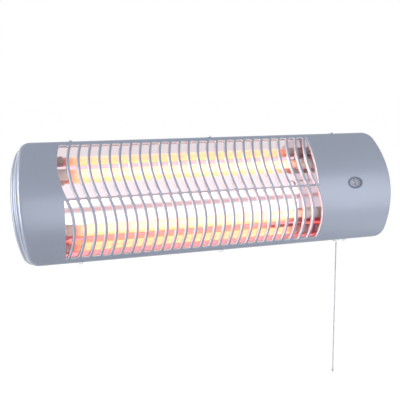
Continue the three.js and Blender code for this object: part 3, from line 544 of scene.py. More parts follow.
def braided(name, base):
    """Polyester cord, braided: strands cross at a slant, about 0.9 mm apart along the cord."""
    made, tree, place = blank(name)
    parts = node(tree, "ShaderNodeSeparateXYZ", {0: place}).outputs
    turned_x = node(tree, "ShaderNodeMath", {0: parts[0], 1: -1.0}, operation="MULTIPLY")
    back = node(tree, "ShaderNodeCombineXYZ", {0: turned_x, 1: parts[1], 2: parts[2]})
    scale = 1 / (0.9 * MM) / 6.28  # a wave of scale 1 is 6.28 long
    slants = []
    for way in (place, back):
        wave = {"Vector": way, "Scale": scale}
        slant = node(tree, "ShaderNodeTexWave", wave, bands_direction="DIAGONAL")
        slants.append(slant.outputs["Fac"])
    height = node(tree, "ShaderNodeMath", dict(enumerate(slants)), operation="MAXIMUM")
    # Darker where the strands dip: painted shade in the hollows between them.
    tones = {0: height, 6: shaded(base, 0.82), 7: shaded(base)}
    hue = node(tree, "ShaderNodeMix", tones, data_type="RGBA").outputs[2]
    bump = node(tree, "ShaderNodeBump", {"Height": height, "Strength": 0.6, "Distance": 0.1 * MM})
    inputs = {"Base Color": hue, "Roughness": 0.75, "Normal": bump, "Sheen Weight": 0.2}
    surface = node(tree, "ShaderNodeBsdfPrincipled", inputs)
    node(tree, "ShaderNodeOutputMaterial", {"Surface": surface})
    return made


FINISHES = {}


def finish_of(key):
    """Each finish is made once, the first time a piece asks for it."""
    if key not in FINISHES:
        FINISHES[key] = MAKERS[key](bpy.context.scene)
    return FINISHES[key]


MAKERS = {
    # Steel, powder-coated silver: fine bright flakes under a satin coat with a faint orange peel.
    # The flakes are drawn 0.7 mm across, coarser than real, so that they show.
    "silver_paint": lambda scene: finish(
        "silver_powder_coat", scene.heater_panel.paint, 0.33, 0.7, 0.05, 0.004, Metallic=0.45,
        Coat_Weight=0.4, Coat_Roughness=0.15,
    ),
    # The same coat painted lighter on the rolled rims: a painted highlight for the light their curve
    # catches.
    "silver_rim_painted_highlight": lambda scene: finish(
        "silver_coat_painted_highlight", "#C6CBD5", 0.3, 0.7, 0.05, Metallic=0.45, Coat_Weight=0.4,
        Coat_Roughness=0.15,
    ),
    "polished_aluminium": lambda scene: mirror_sheet("polished_aluminium"),
    # Steatite ceramic, pressed and fired unglazed, browned a little by the heat.
    "steatite": lambda scene: finish("steatite_ceramic", "#E0DBD6", 0.75, 0.6, 0.08, 0.02),
    # Steel, bright zinc plated: a satin metal with small cloudy crystals.
    "zinc_plate": lambda scene: finish(
        "bright_zinc_plate", "#C3C6CB", 0.32, 1.2, 0.08, 0.002, Metallic=1.0
    ),
    # Nylon, injection moulded: a soft white with an even satin grain.
    "white_nylon": lambda scene: finish("white_nylon", "#ECECEE", 0.48, 0.4, 0.03, 0.006),
    # ABS, injection moulded in a dark blue-grey; on the window's rim this dark is partly painted
    # shade, for the shade in the groove round the lens. And in a pale grey for the drum.
    "grey_abs_with_painted_shade": lambda scene: finish("grey_abs_with_painted_shade", "#5F6B82", 0.42, 0.4, 0.04, 0.005),
    "drum_abs": lambda scene: finish("pale_grey_abs", "#F2F4F9", 0.5, 0.4, 0.03, 0.005),
    # Pad-printed ink: a thin flat red.
    "red_ink": lambda scene: finish("red_ink", "#E01C28", 0.55, 0.3, 0.05),
    # Rubber, moulded: a matt black with a fine bloom.
    "black_rubber": lambda scene: finish("black_rubber", "#1D1D20", 0.8, 0.5, 0.1, 0.01),
    # Glass fibre, woven into a sleeve and left raw.
    "glass_fibre": lambda scene: finish("glass_fibre_sleeve", "#D6D1C4", 0.85, 0.5, 0.12, 0.06),
    "lens": lambda scene: clear_plastic("clear_polycarbonate"),
    "quartz_top": lambda scene: glowing_quartz("quartz_top", scene.heater_tubes, TUBE_Z),
    "quartz_bottom": lambda scene: glowing_quartz("quartz_bottom", scene.heater_tubes, -TUBE_Z),
    "wire": lambda scene: glowing_wire("resistance_wire", scene.heater_tubes),
    "braid": lambda scene: braided("braided_cord", scene.heater_cord.colour),
}


def coated(names, key):
    """Gives frame nodes that keep their shape their finish."""
    for name in names:
        NODES[name].data.materials.clear()
        NODES[name].data.materials.append(finish_of(key))


def stands_for(piece, slot, *nodes):
    """Hides the frame nodes that a piece takes the place of. The piece and its slot are not used."""
    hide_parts(*nodes)


def softened(name, key, body, slot, bevel=0.3, smooth=35):
    """A frame node's shape as one clean mesh, with its sharp edges broken."""
    mesh = NODES[name].data.copy()
    mesh.name = name + "_soft"
    piece = link(name + "_soft", cleaned(mesh, merge=1e-6, flat=2), key, body, smooth)
    edge = piece.modifiers.new("Edge", "BEVEL")
    edge.width = bevel * MM
    edge.segments = 2
    edge.limit_method = "ANGLE"
    edge.angle_limit = math.radians(40)
    edge.harden_normals = True
    stands_for(piece, slot, name)


# ---- front ---------------------------------------------------------------------------------------
SIDE_STEPS = 14  # along a slot's side
CORNER_STEPS = 3  # round a slot's corner
END_STEPS = 36  # along the housing's curved end
BEND_STEPS = 10  # round the housing's corner
STRAIGHT_STEPS = 70  # along the housing's straight top
FOLD_STEPS = 8  # over the fold round the front
SHEET_STEP = 5.0  # between the points that keep the sheet's triangles even
SHEET_GRID = (48, 13)  # how many of them lie to each side of the middle


def bar_line(sizes, index, along):
    """Sideways place of a bar's middle, from the middle of the grille."""
    inner = sizes.middle_bar / MM / 2
    middle = (ROW_END + inner) / 2
    half = (ROW_END - inner) / 2
    bow = sizes.bar_sweep / MM * (1 - ((along - middle) / half) ** 2)
    return (index - BARS / 2) * sizes.pitch / MM - bow


def slot_outline(sizes, row, index, grow):
    """One slot on the flattened front, grown by `grow`, with round corners."""
    bar = sizes.bar_width / MM / 2
    low = sizes.middle_bar / MM / 2 - min(grow, 0.4 * sizes.middle_bar / MM)
    high = ROW_END + grow

    def left(along):
        return bar_line(sizes, index, along) + (bar if index else 0) - grow

    def right(along):
        if index == BARS:
            return GRILLE_HALF + grow
        return bar_line(sizes, index + 1, along) - bar + grow

    corners = []
    for side, end, inward in ((left, low, 1), (left, high, -1), (right, high, -1), (right, low, 1)):
        width = right(end) - left(end)
        radius = min(SLOT_CORNER + grow, 0.45 * width)
        centre = end + inward * radius
        sign = 1 if side is left else -1
        arc = []
        for step in range(CORNER_STEPS + 1):
            turn = math.pi / 2 * step / CORNER_STEPS
            x = side(centre) + sign * radius * (1 - math.cos(turn))
            arc.append((x, centre - inward * radius * math.sin(turn)))
        corners.append(arc)
    low_left, high_left, high_right, low_right = corners

    def run(side, start, stop):
        steps = [start + (stop - start) * i / SIDE_STEPS for i in range(1, SIDE_STEPS)]
        return [(side(along), along) for along in steps]

    points = [
        *reversed(low_left),
        *run(left, low_left[0][1], high_left[0][1]),
        *high_left,
        *reversed(high_right),
        *run(right, high_right[0][1], low_right[0][1]),
        *low_right,
    ]
    return [(GRILLE_X + row * x, row * along) for x, along in points]


def window_outline(grow, steps=48):
    """The window's oval on the flattened front, grown by `grow`."""
    half_width, half_height = (half + grow for half in WINDOW_HALF)
    turns = [2 * math.pi * i / steps for i in range(steps)]
    return [(WINDOW_X + half_width * math.cos(t), half_height * math.sin(t)) for t in turns]


def housing_outline(inset, swell=0.0):
    """The housing from the front, drawn in by `inset`, its ends swelling out by `swell`."""
    end_centre = HALF_LENGTH - END_RADIUS
    corner_z = HALF_HEIGHT - CORNER_RADIUS
    reach = END_RADIUS - CORNER_RADIUS
    corner_x = end_centre + math.sqrt(reach**2 - corner_z**2)
    turn = math.asin(corner_z / reach)

    def arc(cx, cz, radius, start, stop, steps):
        angles = [start + (stop - start) * i / steps for i in range(steps + 1)]
        return [(cx + radius * math.cos(a), cz + radius * math.sin(a)) for a in angles]

    corner = CORNER_RADIUS - inset
    half = [
        *arc(corner_x, -corner_z, corner, -math.pi / 2, -turn, BEND_STEPS),
        *arc(end_centre, 0, END_RADIUS - inset, -turn, turn, END_STEPS)[1:-1],
        *arc(corner_x, corner_z, corner, turn, math.pi / 2, BEND_STEPS),
    ]
    top = HALF_HEIGHT - inset
    steps = [1 - 2 * i / STRAIGHT_STEPS for i in range(1, STRAIGHT_STEPS)]
    half = [(x + swell * (1 - (z / HALF_HEIGHT) ** 4), z) for x, z in half]
    half += [(corner_x * t, top) for t in steps]
    return half + [(-x, -z) for x, z in half]


def sheet_line(outline):
    """(x, z) pairs as (x, along the curve) pairs."""
    return [(x, FRONT_RADIUS * math.asin(max(-1, min(1, z / FRONT_RADIUS)))) for x, z in outline]


def rim_steps(radius, depth, lip):
    """(grow, depth) from the flat front over a rolled rim and round behind it."""
    turns = [math.pi / 2 * i / 3 for i in range(4)]
    rolled = [(radius * (1 - math.sin(t)), radius * (1 - math.cos(t))) for t in turns]
    return [*rolled, (0, depth), (lip, depth), (lip, WALL)]


def side_ring(outline, extra):
    """The outline `extra` behind the curved front's edge there."""
    return [Vector((x, at(arc_depth(z) + extra), z)) for x, z in outline]


def sheet_points(edge):
    """A grid of points over the plain parts of the sheet, clear of its holes and its edge."""
    points = []
    past_grille, past_window, from_end = 9, 3, 14
    end_bow = 400  # the ends curve away as the square of the height over this
    near_window = window_outline(past_window)
    columns, rows = SHEET_GRID
    for i in range(-columns, columns + 1):
        for j in range(-rows, rows + 1):
            x, along = i * SHEET_STEP, j * SHEET_STEP
            if abs(x - GRILLE_X) < GRILLE_HALF + past_grille or inside((x, along), near_window):
                continue
            end = HALF_LENGTH - from_end - along**2 / end_bow
            if inside((x, along), edge) and abs(x) < end:
                points.append((x, along))
    return points



class HEATER_OT_front_panel(bpy.types.Operator):
    """Presses the curved front: slots with rolled rims, the window's hole and the folded side."""

    bl_idname = "heater.front_panel"
    bl_label = "Front panel"

    def execute(self, context):
        sizes = context.scene.heater_panel
        fold = sizes.fold / MM
        slot_rim = rim_steps(sizes.rim / MM, sizes.rim_depth / MM, 0.5)
        window_rim = rim_steps(0.5, WALL + 0.2, 0.3)
        rims = [
            [(slot_outline(sizes, row, index, grow), depth) for grow, depth in slot_rim]
            for row in (1, -1)
            for index in range(BARS + 1)
        ]
        rims.append([(window_outline(grow), depth) for grow, depth in window_rim])
        edge = sheet_line(housing_outline(fold))
        back_edge = sheet_line(housing_outline(WALL))
        extra = sheet_points(edge)
        shell = Shell()

        def lay(loop, depth):
            return shell.loop(on_front(x, along, depth) for x, along in loop)

        loops = [[lay(loop, depth) for loop, depth in rim] for rim in rims]
        outer_edge = lay(edge, 0)
        inner_edge = lay(back_edge, WALL)
        outer_extra = lay(extra, 0)
        inner_extra = lay(extra, WALL)
        for line, which, ids, more in (
            (edge, 0, outer_edge, outer_extra),
            (back_edge, -1, inner_edge, inner_extra),
        ):
            triangles = fill(line, [rim[which][0] for rim in rims], extra)
            sheet = [*ids, *(i for rim in loops for i in rim[which]), *more]
            shell.faces.extend(tuple(sheet[i] for i in face) for face in triangles)
        for rim in loops:
            shell.bands(rim[:3])
        # From the last step of its roll inwards, a rim takes the lighter coat, a painted highlight.
        rolled = len(shell.faces)
        for rim in loops:
            shell.bands(rim[2:])
        bright = range(rolled, len(shell.faces))
        start = [shell.points[i] for i in outer_edge]
        sharp = side_ring(housing_outline(0), 0)
        end = side_ring(housing_outline(0), fold)
        sides = [outer_edge]
        for step in range(1, FOLD_STEPS):
            t = step / FOLD_STEPS
            bend = [a.lerp(b, t).lerp(b.lerp(c, t), t) for a, b, c in zip(start, sharp, end)]
            sides.append(shell.loop(bend))
        sides.append(shell.loop(end))
        for inset, depth in ((0, FLANGE_DEPTH - 0.4), (0.4, FLANGE_DEPTH), (WALL, FLANGE_DEPTH)):
            sides.append(shell.loop(side_ring(housing_outline(inset), depth)))
        sides.append(inner_edge)
        shell.bands(sides)
        piece = shell.piece("front_panel_skin", "silver_paint", "housing", smooth=50)
        smooth_front(piece)
        piece.data.materials.append(finish_of("silver_rim_painted_highlight"))
        for face in bright:
            piece.data.polygons[face].material_index = 1
        stands_for(piece, "painted_steel", "front_panel")
        # The polished troughs show the room in front, not this sheet's unlit back.
        piece.visible_glossy = False
        return {"FINISHED"}


def smooth_front(piece):
    """Gives the curved sheet the exact normals of its curve, whatever its triangles."""
    mesh = piece.data
    axis_y = at(0) + FRONT_RADIUS
    normals = [Vector()] * len(mesh.vertices)
    turn = HOUSING.to_3x3().normalized()
    for vertex in mesh.vertices:
        here = HOUSING_INVERSE @ vertex.co
        spoke = Vector((0, here.y - axis_y, here.z))
        if abs(spoke.length - FRONT_RADIUS) < 0.01:
            normals[vertex.index] = (turn @ spoke.normalized()).normalized()
    mesh.normals_split_custom_set_from_vertices(normals)


# ---- back shell ----------------------------------------------------------------------------------
# Down the shell's side: inset, depth behind the curved edge, swell of the ends.
RIDGES = ((1.7, 3.2, 0), (1.7, 9.0, 0), (1.7, 9.4, 2.9), (1.7, 17.6, 3.2), (2.0, 19.6, 3.2),
          (1.7, 20.2, 5.5), (1.7, 27.0, 5.6))
RIDGES_END, END_SWELL = RIDGES[-1][1:]
BACK_TURN = 30.0  # behind the crown, where the side turns in towards the flat back
FLAT_INSET = 12.0
INLET_HOLE = 6.0
class HEATER_OT_rear_shell(bpy.types.Operator):
    """Presses the rear shell: two ridges that follow the front's curve, and a flat back."""

    bl_idname = "heater.rear_shell"
    bl_label = "Rear shell"

    def execute(self, context):
        swells = rounded([(depth, swell) for _, depth, swell in RIDGES], 1.0)
        insets = rounded([(depth, inset) for inset, depth, _ in RIDGES], 1.0)
        corner = [(1.4, BACK_TURN), (7.0, BODY_DEPTH), (FLAT_INSET, BODY_DEPTH)]
        back = rounded(corner, 4.0, steps=5)
        shell = Shell()
        hole = [(INLET[0] + x, INLET[1] + z) for x, z, _ in ring(INLET_HOLE, 0, 24)]

        def behind(z, extra):
            """The ridges run closer together where the side is low."""
            return arc_depth(z) + extra * min(1, (BODY_DEPTH - 2.5 - arc_depth(z)) / RIDGES_END)

        def surface(inward):
            loops = []
            for (extra, swell), (_, inset) in zip(swells, insets):
                outline = housing_outline(inset + inward, swell)
                loops.append(shell.loop((x, at(behind(z, extra)), z) for x, z in outline))
            for inset, depth in back[1:-1]:
                share = (depth - BACK_TURN) / (BODY_DEPTH - BACK_TURN)
                points = []
                for x, z in housing_outline(inset + inward, END_SWELL * (1 - share)):
                    edge = behind(z, RIDGES_END)
                    points.append((x, at(edge + (BODY_DEPTH - edge) * share - inward * share), z))
                loops.append(shell.loop(points))
            flat = housing_outline(FLAT_INSET + inward)
            flat_loop = shell.loop((x, at(BODY_DEPTH - inward), z) for x, z in flat)
            hole_loop = shell.loop((x, at(BODY_DEPTH - inward), z) for x, z in hole)
            loops.append(flat_loop)
            shell.bands(loops)
            ids = [*flat_loop, *hole_loop]
            shell.faces.extend(tuple(ids[i] for i in face) for face in fill(flat, [hole]))
            return loops[0], hole_loop

        outer, outer_hole = surface(0)
        inner, inner_hole = surface(WALL)
        shell.band(outer, inner)
        shell.band(outer_hole, inner_hole)
        piece = shell.piece("rear_shell_skin", "silver_paint", "housing", smooth=55)
        stands_for(piece, "painted_steel", "rear_shell")
        return {"FINISHED"}


# ---- what repeats --------------------------------------------------------------------------------
def new_tree(name, sockets):
    """An empty geometry tree with named inputs, and the outputs of its input node."""
    tree = bpy.data.node_groups.new(name, "GeometryNodeTree")
    tree.interface.new_socket("Geometry", in_out="INPUT", socket_type="NodeSocketGeometry")
    for label, kind in sockets:
        tree.interface.new_socket(label, in_out="INPUT", socket_type="NodeSocket" + kind)
    tree.interface.new_socket("Geometry", in_out="OUTPUT", socket_type="NodeSocketGeometry")
    return tree, node(tree, "NodeGroupInput").outputs


def close_tree(tree, geometry, material):
    """Ends the tree with plain geometry of one material."""
    real = node(tree, "GeometryNodeRealizeInstances", {0: geometry})
    done = node(tree, "GeometryNodeSetMaterial", {0: real, "Material": material})
    node(tree, "NodeGroupOutput", {0: done})
    return tree


def wound_wire_tree():
    """A round wire wound in an even helix, lying along x."""
    kinds = [("Turns", "Float"), ("Coil radius", "Float"), ("Wire radius", "Float"),
             ("Length", "Float"), ("Material", "Material")]
    tree, given = new_tree("wound_wire", kinds)
    helix = {"Resolution": 14, "Rotations": given["Turns"], "Start Radius": given["Coil radius"],
             "End Radius": given["Coil radius"], "Height": given["Length"]}
    line = node(tree, "GeometryNodeCurveSpiral", helix)
    circle = {"Resolution": 6, "Radius": given["Wire radius"]}
    section = node(tree, "GeometryNodeCurvePrimitiveCircle", circle)
    swept = {"Curve": line, "Profile Curve": section, "Fill Caps": True}
    wire = node(tree, "GeometryNodeCurveToMesh", swept)
    half = node(tree, "ShaderNodeMath", {0: given["Length"], 1: -0.5}, operation="MULTIPLY")
    shift = node(tree, "ShaderNodeCombineXYZ", {"Z": half})
    centred = node(tree, "GeometryNodeTransform", {0: wire, "Translation": shift})
    lying = node(tree, "GeometryNodeTransform", {0: centred, "Rotation": (0, math.pi / 2, 0)})
    return close_tree(tree, lying, given["Material"])


def screws_tree():
    """One screw on every point, turned as the point's attribute says."""
    tree, given = new_tree("screws", [("Screw", "Object"), ("Material", "Material")])
    screw = node(tree, "GeometryNodeObjectInfo", {"Object": given["Screw"]}).outputs["Geometry"]
    turn = node(tree, "GeometryNodeInputNamedAttribute", {"Name": "turn"}, data_type="FLOAT_VECTOR")
    rotation = node(tree, "FunctionNodeEulerToRotation", {0: turn.outputs["Attribute"]})
    spread = {"Points": given["Geometry"], "Instance": screw, "Rotation": rotation}
    driven = node(tree, "GeometryNodeInstanceOnPoints", spread)
    return close_tree(tree, driven, given["Material"])


def grown(name, tree, source, values):
    """The plain mesh that a tree makes from a source mesh and its named inputs."""
    host = placed(name + "_host", source)
    modifier = host.modifiers.new("Grow", "NODES")
    modifier.node_group = tree
    for item in tree.interface.items_tree:
        if item.item_type == "SOCKET" and item.in_out == "INPUT" and item.name in values:
            modifier[item.identifier] = values[item.name]
    made = settled(host)
    made.name = name
    return made


def wound(name, key, body, place, turns, radius, wire, span):
    """A wound wire, as a plain piece."""
    values = {"Turns": float(turns), "Coil radius": radius, "Wire radius": wire, "Length": span,
              "Material": finish_of(key)}
    mesh = grown(name, wound_wire_tree(), bpy.data.meshes.new(name + "_seed"), values)
    mesh.transform(place)
    return link(name, mesh, key, body, smooth=60)


def screw_template(head, height, shank, reach):
    """A pan-head screw pointing down, with a cross recess."""
    turns = [math.pi / 2 * i / 6 for i in range(6)]
    dome = [(head * math.cos(t), height * (0.45 + 0.55 * math.sin(t))) for t in turns]
    profile = [(shank * 0.6, -reach), (shank, -reach + 0.6), (shank, 0), (head, 0), *dome]
    screw = placed("screw_blank", turned(profile, UPRIGHT, 28).mesh("screw_blank"))
    cutter = Shell()
    arm, half = head * 0.62, head * 0.13
    corners = [(arm, half), (-arm, half), (-arm, -half), (arm, -half)]
    for turn in (0, math.pi / 2):
        c, s = math.cos(turn), math.sin(turn)
        across = [(x * c - y * s, x * s + y * c) for x, y in corners]
        deep = cutter.loop((0.5 * x, 0.5 * y, height * 0.35) for x, y in across)
        high = cutter.loop((x, y, height * 1.3) for x, y in across)
        cutter.band(deep, high)
        cutter.cap(deep)
        cutter.cap(high)
    cross = placed("screw_cross", cutter.mesh("screw_cross"))
    cut = screw.modifiers.new("Recess", "BOOLEAN")
    cut.object = cross
    cut.use_self = True
    mesh = settled(screw)
    bpy.data.objects.remove(cross)
    return mesh


def screws(name, nodes, places, sizes):
    """Like screws on the housing: places are (point, turn) in its frame, in millimetres."""
    template = placed(name + "_template", screw_template(*sizes))
    seats = bpy.data.meshes.new(name + "_seats")
    seats.from_pydata([point for point, _ in places], [], [])
    turns = seats.attributes.new("turn", "FLOAT_VECTOR", "POINT")
    for item, (_, turn) in zip(turns.data, places):
        item.vector = turn
    values = {"Screw": template, "Material": finish_of("zinc_plate")}
    mesh = grown(name, screws_tree(), seats, values)
    bpy.data.objects.remove(template)
    mesh.transform(HOUSING)
    stands_for(link(name, mesh, "zinc_plate", "housing", smooth=30), "zinc_steel", *nodes)


# Each kind of screw: the radius and height of its head, the radius and length of its shank.
COVER_SCREW = (3.2, 1.8, 1.45, 4.0)
REFLECTOR_SCREW = (2.8, 1.4, 1.4, 4.2)
TILT_SCREW = (3.4, 2.0, 1.8, 5.8)
COVER_PLACE = (171.0, 23.5, 68.8)  # x of the outer ones, depth, height of the heads' seats
REFLECTOR_PLACE = (100.0, 37.7, TUBE_Z)
TILT_PLACE = (50.0, -11.4, 13.0)


class HEATER_OT_screws(bpy.types.Operator):
    """Drives the screws of the cover, the reflector and the tilting bracket."""

    bl_idname = "heater.screws"
    bl_label = "Screws"

    def execute(self, context):
        reach, depth, height = COVER_PLACE
        places = []
        names = []
        for row, sign in (("top", 1), ("bottom", -1)):
            for i, x in enumerate((-reach, 0.0, reach)):
                turn = (0 if sign > 0 else math.pi, 0, 0.4 + i)
                places.append(((x, at(depth), sign * height), turn))
                names.append(f"cover_screw_{row}_{i + 1}")
        screws("cover_screws", names, places, COVER_SCREW)
        reach, depth, height = REFLECTOR_PLACE
        places = [((GRILLE_X + x, at(depth), z), (math.pi / 2, 0, 0.5 + x))
                  for x in (-reach, reach) for z in (-height, height)]
        names = [f"reflector_screw_{i + 1}" for i in range(4)]
        screws("reflector_screws", names, places, REFLECTOR_SCREW)
        reach, y, height = TILT_PLACE
        places = [((x, y, z), (-math.pi / 2, 0, 0.3 + z))
                  for x in (-reach, reach) for z in (-height, height)]
        names = [f"tilt_screw_{i + 1}" for i in range(4)]
        screws("tilt_screws", names, places, TILT_SCREW)
        return {"FINISHED"}


# ---- tubes ---------------------------------------------------------------------------------------
# (radius, along) from a tube's middle towards its end.
TAIL = [(0.35, 143.6), (0.8, 146), (0.95, 147), (0.95, 178), (0.5, 178.3)]
CAP = [(5.3, 147.3), (6.4, 147.3), (6.4, 166.0), (5.6, 166.0), (5.6, 167.4), (6.4, 167.4),
       (6.4, 172.3), (1.3, 172.3), (1.3, 155.3), (5.3, 155.3)]


class HEATER_OT_tubes(bpy.types.Operator):
    """Draws the quartz tubes, winds their coils and fits the ceramic caps."""

    bl_idname = "heater.tubes"
    bl_label = "Quartz tubes"

    def execute(self, context):
        sizes = context.scene.heater_tubes
        outer = sizes.radius / MM
        inner = outer - 1
        wall = [(inner, -TUBE_HALF), (outer, -TUBE_HALF), (outer, TUBE_HALF), (inner, TUBE_HALF)]
        for row, sign in (("top", 1), ("bottom", -1)):
            centre = HOUSING @ Matrix.Translation((GRILLE_X, at(TUBE_DEPTH), sign * TUBE_Z))
            tube = turned_ring(wall, 0.4, 3, ALONG_X, 56)
            piece = tube.piece(f"quartz_tube_{row}_drawn", "quartz_" + row, "housing", centre)
            stands_for(piece, "quartz", f"quartz_tube_{row}")
            coil = wound(
                f"heating_coil_{row}_wound", "wire", "housing", centre @ Matrix.Scale(1 / MM, 4),
                sizes.turns, sizes.coil_radius - sizes.wire_radius, sizes.wire_radius,
                COIL_LENGTH * MM,
            )
            stands_for(coil, "coil", f"heating_coil_{row}")
            for side, turn in (("left", -1), ("right", 1)):
                along = Matrix.Rotation(turn * math.pi / 2, 4, "Y")
                tail = turned(TAIL, along, 16)
                pin = tail.piece(f"coil_tail_{row}_{side}", "wire", "housing", centre)
                cap = turned_ring(CAP, 0.35, 2, along, 40)
                made = cap.piece(f"tube_cap_{row}_{side}_fired", "steatite", "housing", centre)
                stands_for(made, "ceramic", f"tube_cap_{row}_{side}")
        return {"FINISHED"}


# ---- number window -------------------------------------------------------------------------------
class HEATER_OT_window(bpy.types.Operator):
    """Moulds the window's rim, its clear lens and the drum with its numbers."""

    bl_idname = "heater.window"
    bl_label = "Number window"

    def execute(self, context):
        def oval(grow, depth):
            return [on_front(x, z, depth) for x, z in window_outline(grow, 64)]

        rim = Shell()
        section = [(-0.9, 2.7), (-0.9, -0.6), (0.9, -0.6), (1.0, -0.05), (-0.4, -0.05), (-0.4, 2.7)]
        loops = [rim.loop(oval(g, d)) for g, d in rounded(section, 0.22, closed=True)]
        rim.bands(loops + loops[:1])
        # Its dark grey is partly painted shade: the shade in the groove round the lens.
        piece = rim.piece("window_rim", "grey_abs_with_painted_shade", "housing", smooth=50)
        stands_for(piece, "grey_plastic", "window_bezel")
        lens = Shell()
        discs = []
        for depth, dome in ((-0.35, -0.55), (0.6, 0.3)):
            disc = []
            for share in (1.0, 0.85, 0.65, 0.45, 0.25, 0.08):
                rise = depth + dome * (1 - share**2)
                outline = [((x - WINDOW_X) * share + WINDOW_X, z * share)
                           for x, z in window_outline(-1.2, 64)]
                disc.append(lens.loop(on_front(x, z, rise) for x, z in outline))
            discs.append(disc)
        for disc in discs:
            lens.bands(disc)
            lens.cap(disc[-1])
        lens.band(discs[0][0], discs[1][0])
        piece = lens.piece("window_lens_clear", "lens", "housing", smooth=50)
        stands_for(piece, "clear_lens", "window_lens")
        self.drum()
        return {"FINISHED"}

    def drum(self):
        hub, left, right = 2.3, -8.5, 10.8
        axis = HOUSING @ Matrix.Translation((WINDOW_X, at(DRUM_DEPTH), 0))
        section = [(hub, left), (DRUM_RADIUS, left), (DRUM_RADIUS, right), (hub, right)]
        body = turned_ring(section, 0.6, 3, ALONG_X, 72)
        piece = body.piece("number_drum_moulded", "drum_abs", "drum", axis)
        stands_for(piece, "grey_plastic", "number_drum")
        lettering = {"size": 7.4, "align_x": "CENTER", "align_y": "CENTER", "extrude": 0.04,
                     "offset": 0.25}
        shift = 1.5  # brings the numbers to the middle of the window's view
        for face in range(6):
            words = bpy.data.curves.new("numeral", "FONT")
            words.body = "201"[face % 3]
            for key, value in lettering.items():
                setattr(words, key, value)
            mesh = settled(placed("numeral", words))
            for vertex in mesh.vertices:
                u, v, w = vertex.co
                angle = v / DRUM_RADIUS - face * math.pi / 3
                reach = DRUM_RADIUS + 0.03 + w
                vertex.co = (u + shift, -reach * math.cos(angle), reach * math.sin(angle))
            mesh.transform(axis)
            mark = link(f"drum_numeral_{face + 1}", mesh, "red_ink", "drum", smooth=30)


# ---- pull cord -----------------------------------------------------------------------------------
class HEATER_OT_pull_cord(bpy.types.Operator):
    """Hangs the pull cord below its bushing, with a knot at its end."""

    bl_idname = "heater.pull_cord"
    bl_label = "Pull cord"

    def execute(self, context):
        sizes = context.scene.heater_cord
        swing = HOUSING @ Vector((CORD_X, at(CORD_DEPTH), CORD_EXIT_Z - KINK))
        top = swing - Vector((0, 0, KINK * MM))
        span = sizes.hang - KINK * MM
        line = bpy.data.curves.new("pull_cord_braided", "CURVE")
        line.dimensions = "3D"
        line.bevel_depth = sizes.radius
        line.bevel_resolution = 4
        line.use_fill_caps = True
        spline = line.splines.new("POLY")
        stretches = 29
        spline.points.add(stretches)
        for i, point in enumerate(spline.points):
            point.co = (*(top - Vector((0, 0, span * i / stretches))), 1)
        cord = link("pull_cord_braided", line, "braid", "cord")
        lobes = [(0.7, 0.0), (1.2, -0.35), (1.5, -1.0), (1.35, -1.7), (1.5, -2.4), (1.35, -3.1),
                 (0.85, -3.6), (0.95, -4.0), (0.75, -4.3)]
        end = Matrix.Translation(swing - Vector((0, 0, sizes.hang))) @ Matrix.Scale(MM, 4)
        knot = turned(lobes, UPRIGHT, 24)
        tied = knot.piece("cord_knot_tied", "braid", "cord", end, smooth=70)
        stands_for(cord, "cord", "pull_cord")
        stands_for(tied, "cord", "cord_knot")
        hole = HOUSING @ Matrix.Translation((CORD_X, at(CORD_DEPTH), 0))
        section = [(1.6, -69.9), (3.6, -69.9), (4.4, -69.1), (4.4, -67.3), (3.2, -67.3),
                   (3.2, -64.0), (1.6, -64.0)]
        bush = turned_ring(section, 0.5, 3, UPRIGHT, 40)
        piece = bush.piece("cord_bushing_moulded", "white_nylon", "housing", hole)
        stands_for(piece, "white_nylon", "cord_bushing")
        coated(["pull_cord_inner"], "braid")
        return {"FINISHED"}


# ---- reflector, brackets and works ---------------------------------------------------------------
class HEATER_OT_reflector(bpy.types.Operator):
    """Softens the edges of the frame's polished double reflector and its two end plates."""

    bl_idname = "heater.reflector"
    bl_label = "Reflector"

    def execute(self, context):
        for name in ("reflector", "reflector_end_left", "reflector_end_right"):
            softened(name, "polished_aluminium", "housing", "polished_reflector", 0.25, smooth=3)
        return {"FINISHED"}


class HEATER_OT_brackets(bpy.types.Operator):
    """Softens the edges of the frame's wall bracket, tilting bracket, bolts and wing nuts."""

    bl_idname = "heater.brackets"
    bl_label = "Brackets"

    def execute(self, context):
        for name in ("wall_bracket", "pivot_bolt_left", "pivot_bolt_right", "wing_nut_left",
                     "wing_nut_right"):
            softened(name, "zinc_plate", "bracket", "zinc_steel", 0.4)
        softened("tilt_bracket", "zinc_plate", "housing", "zinc_steel", 0.4)
        return {"FINISHED"}


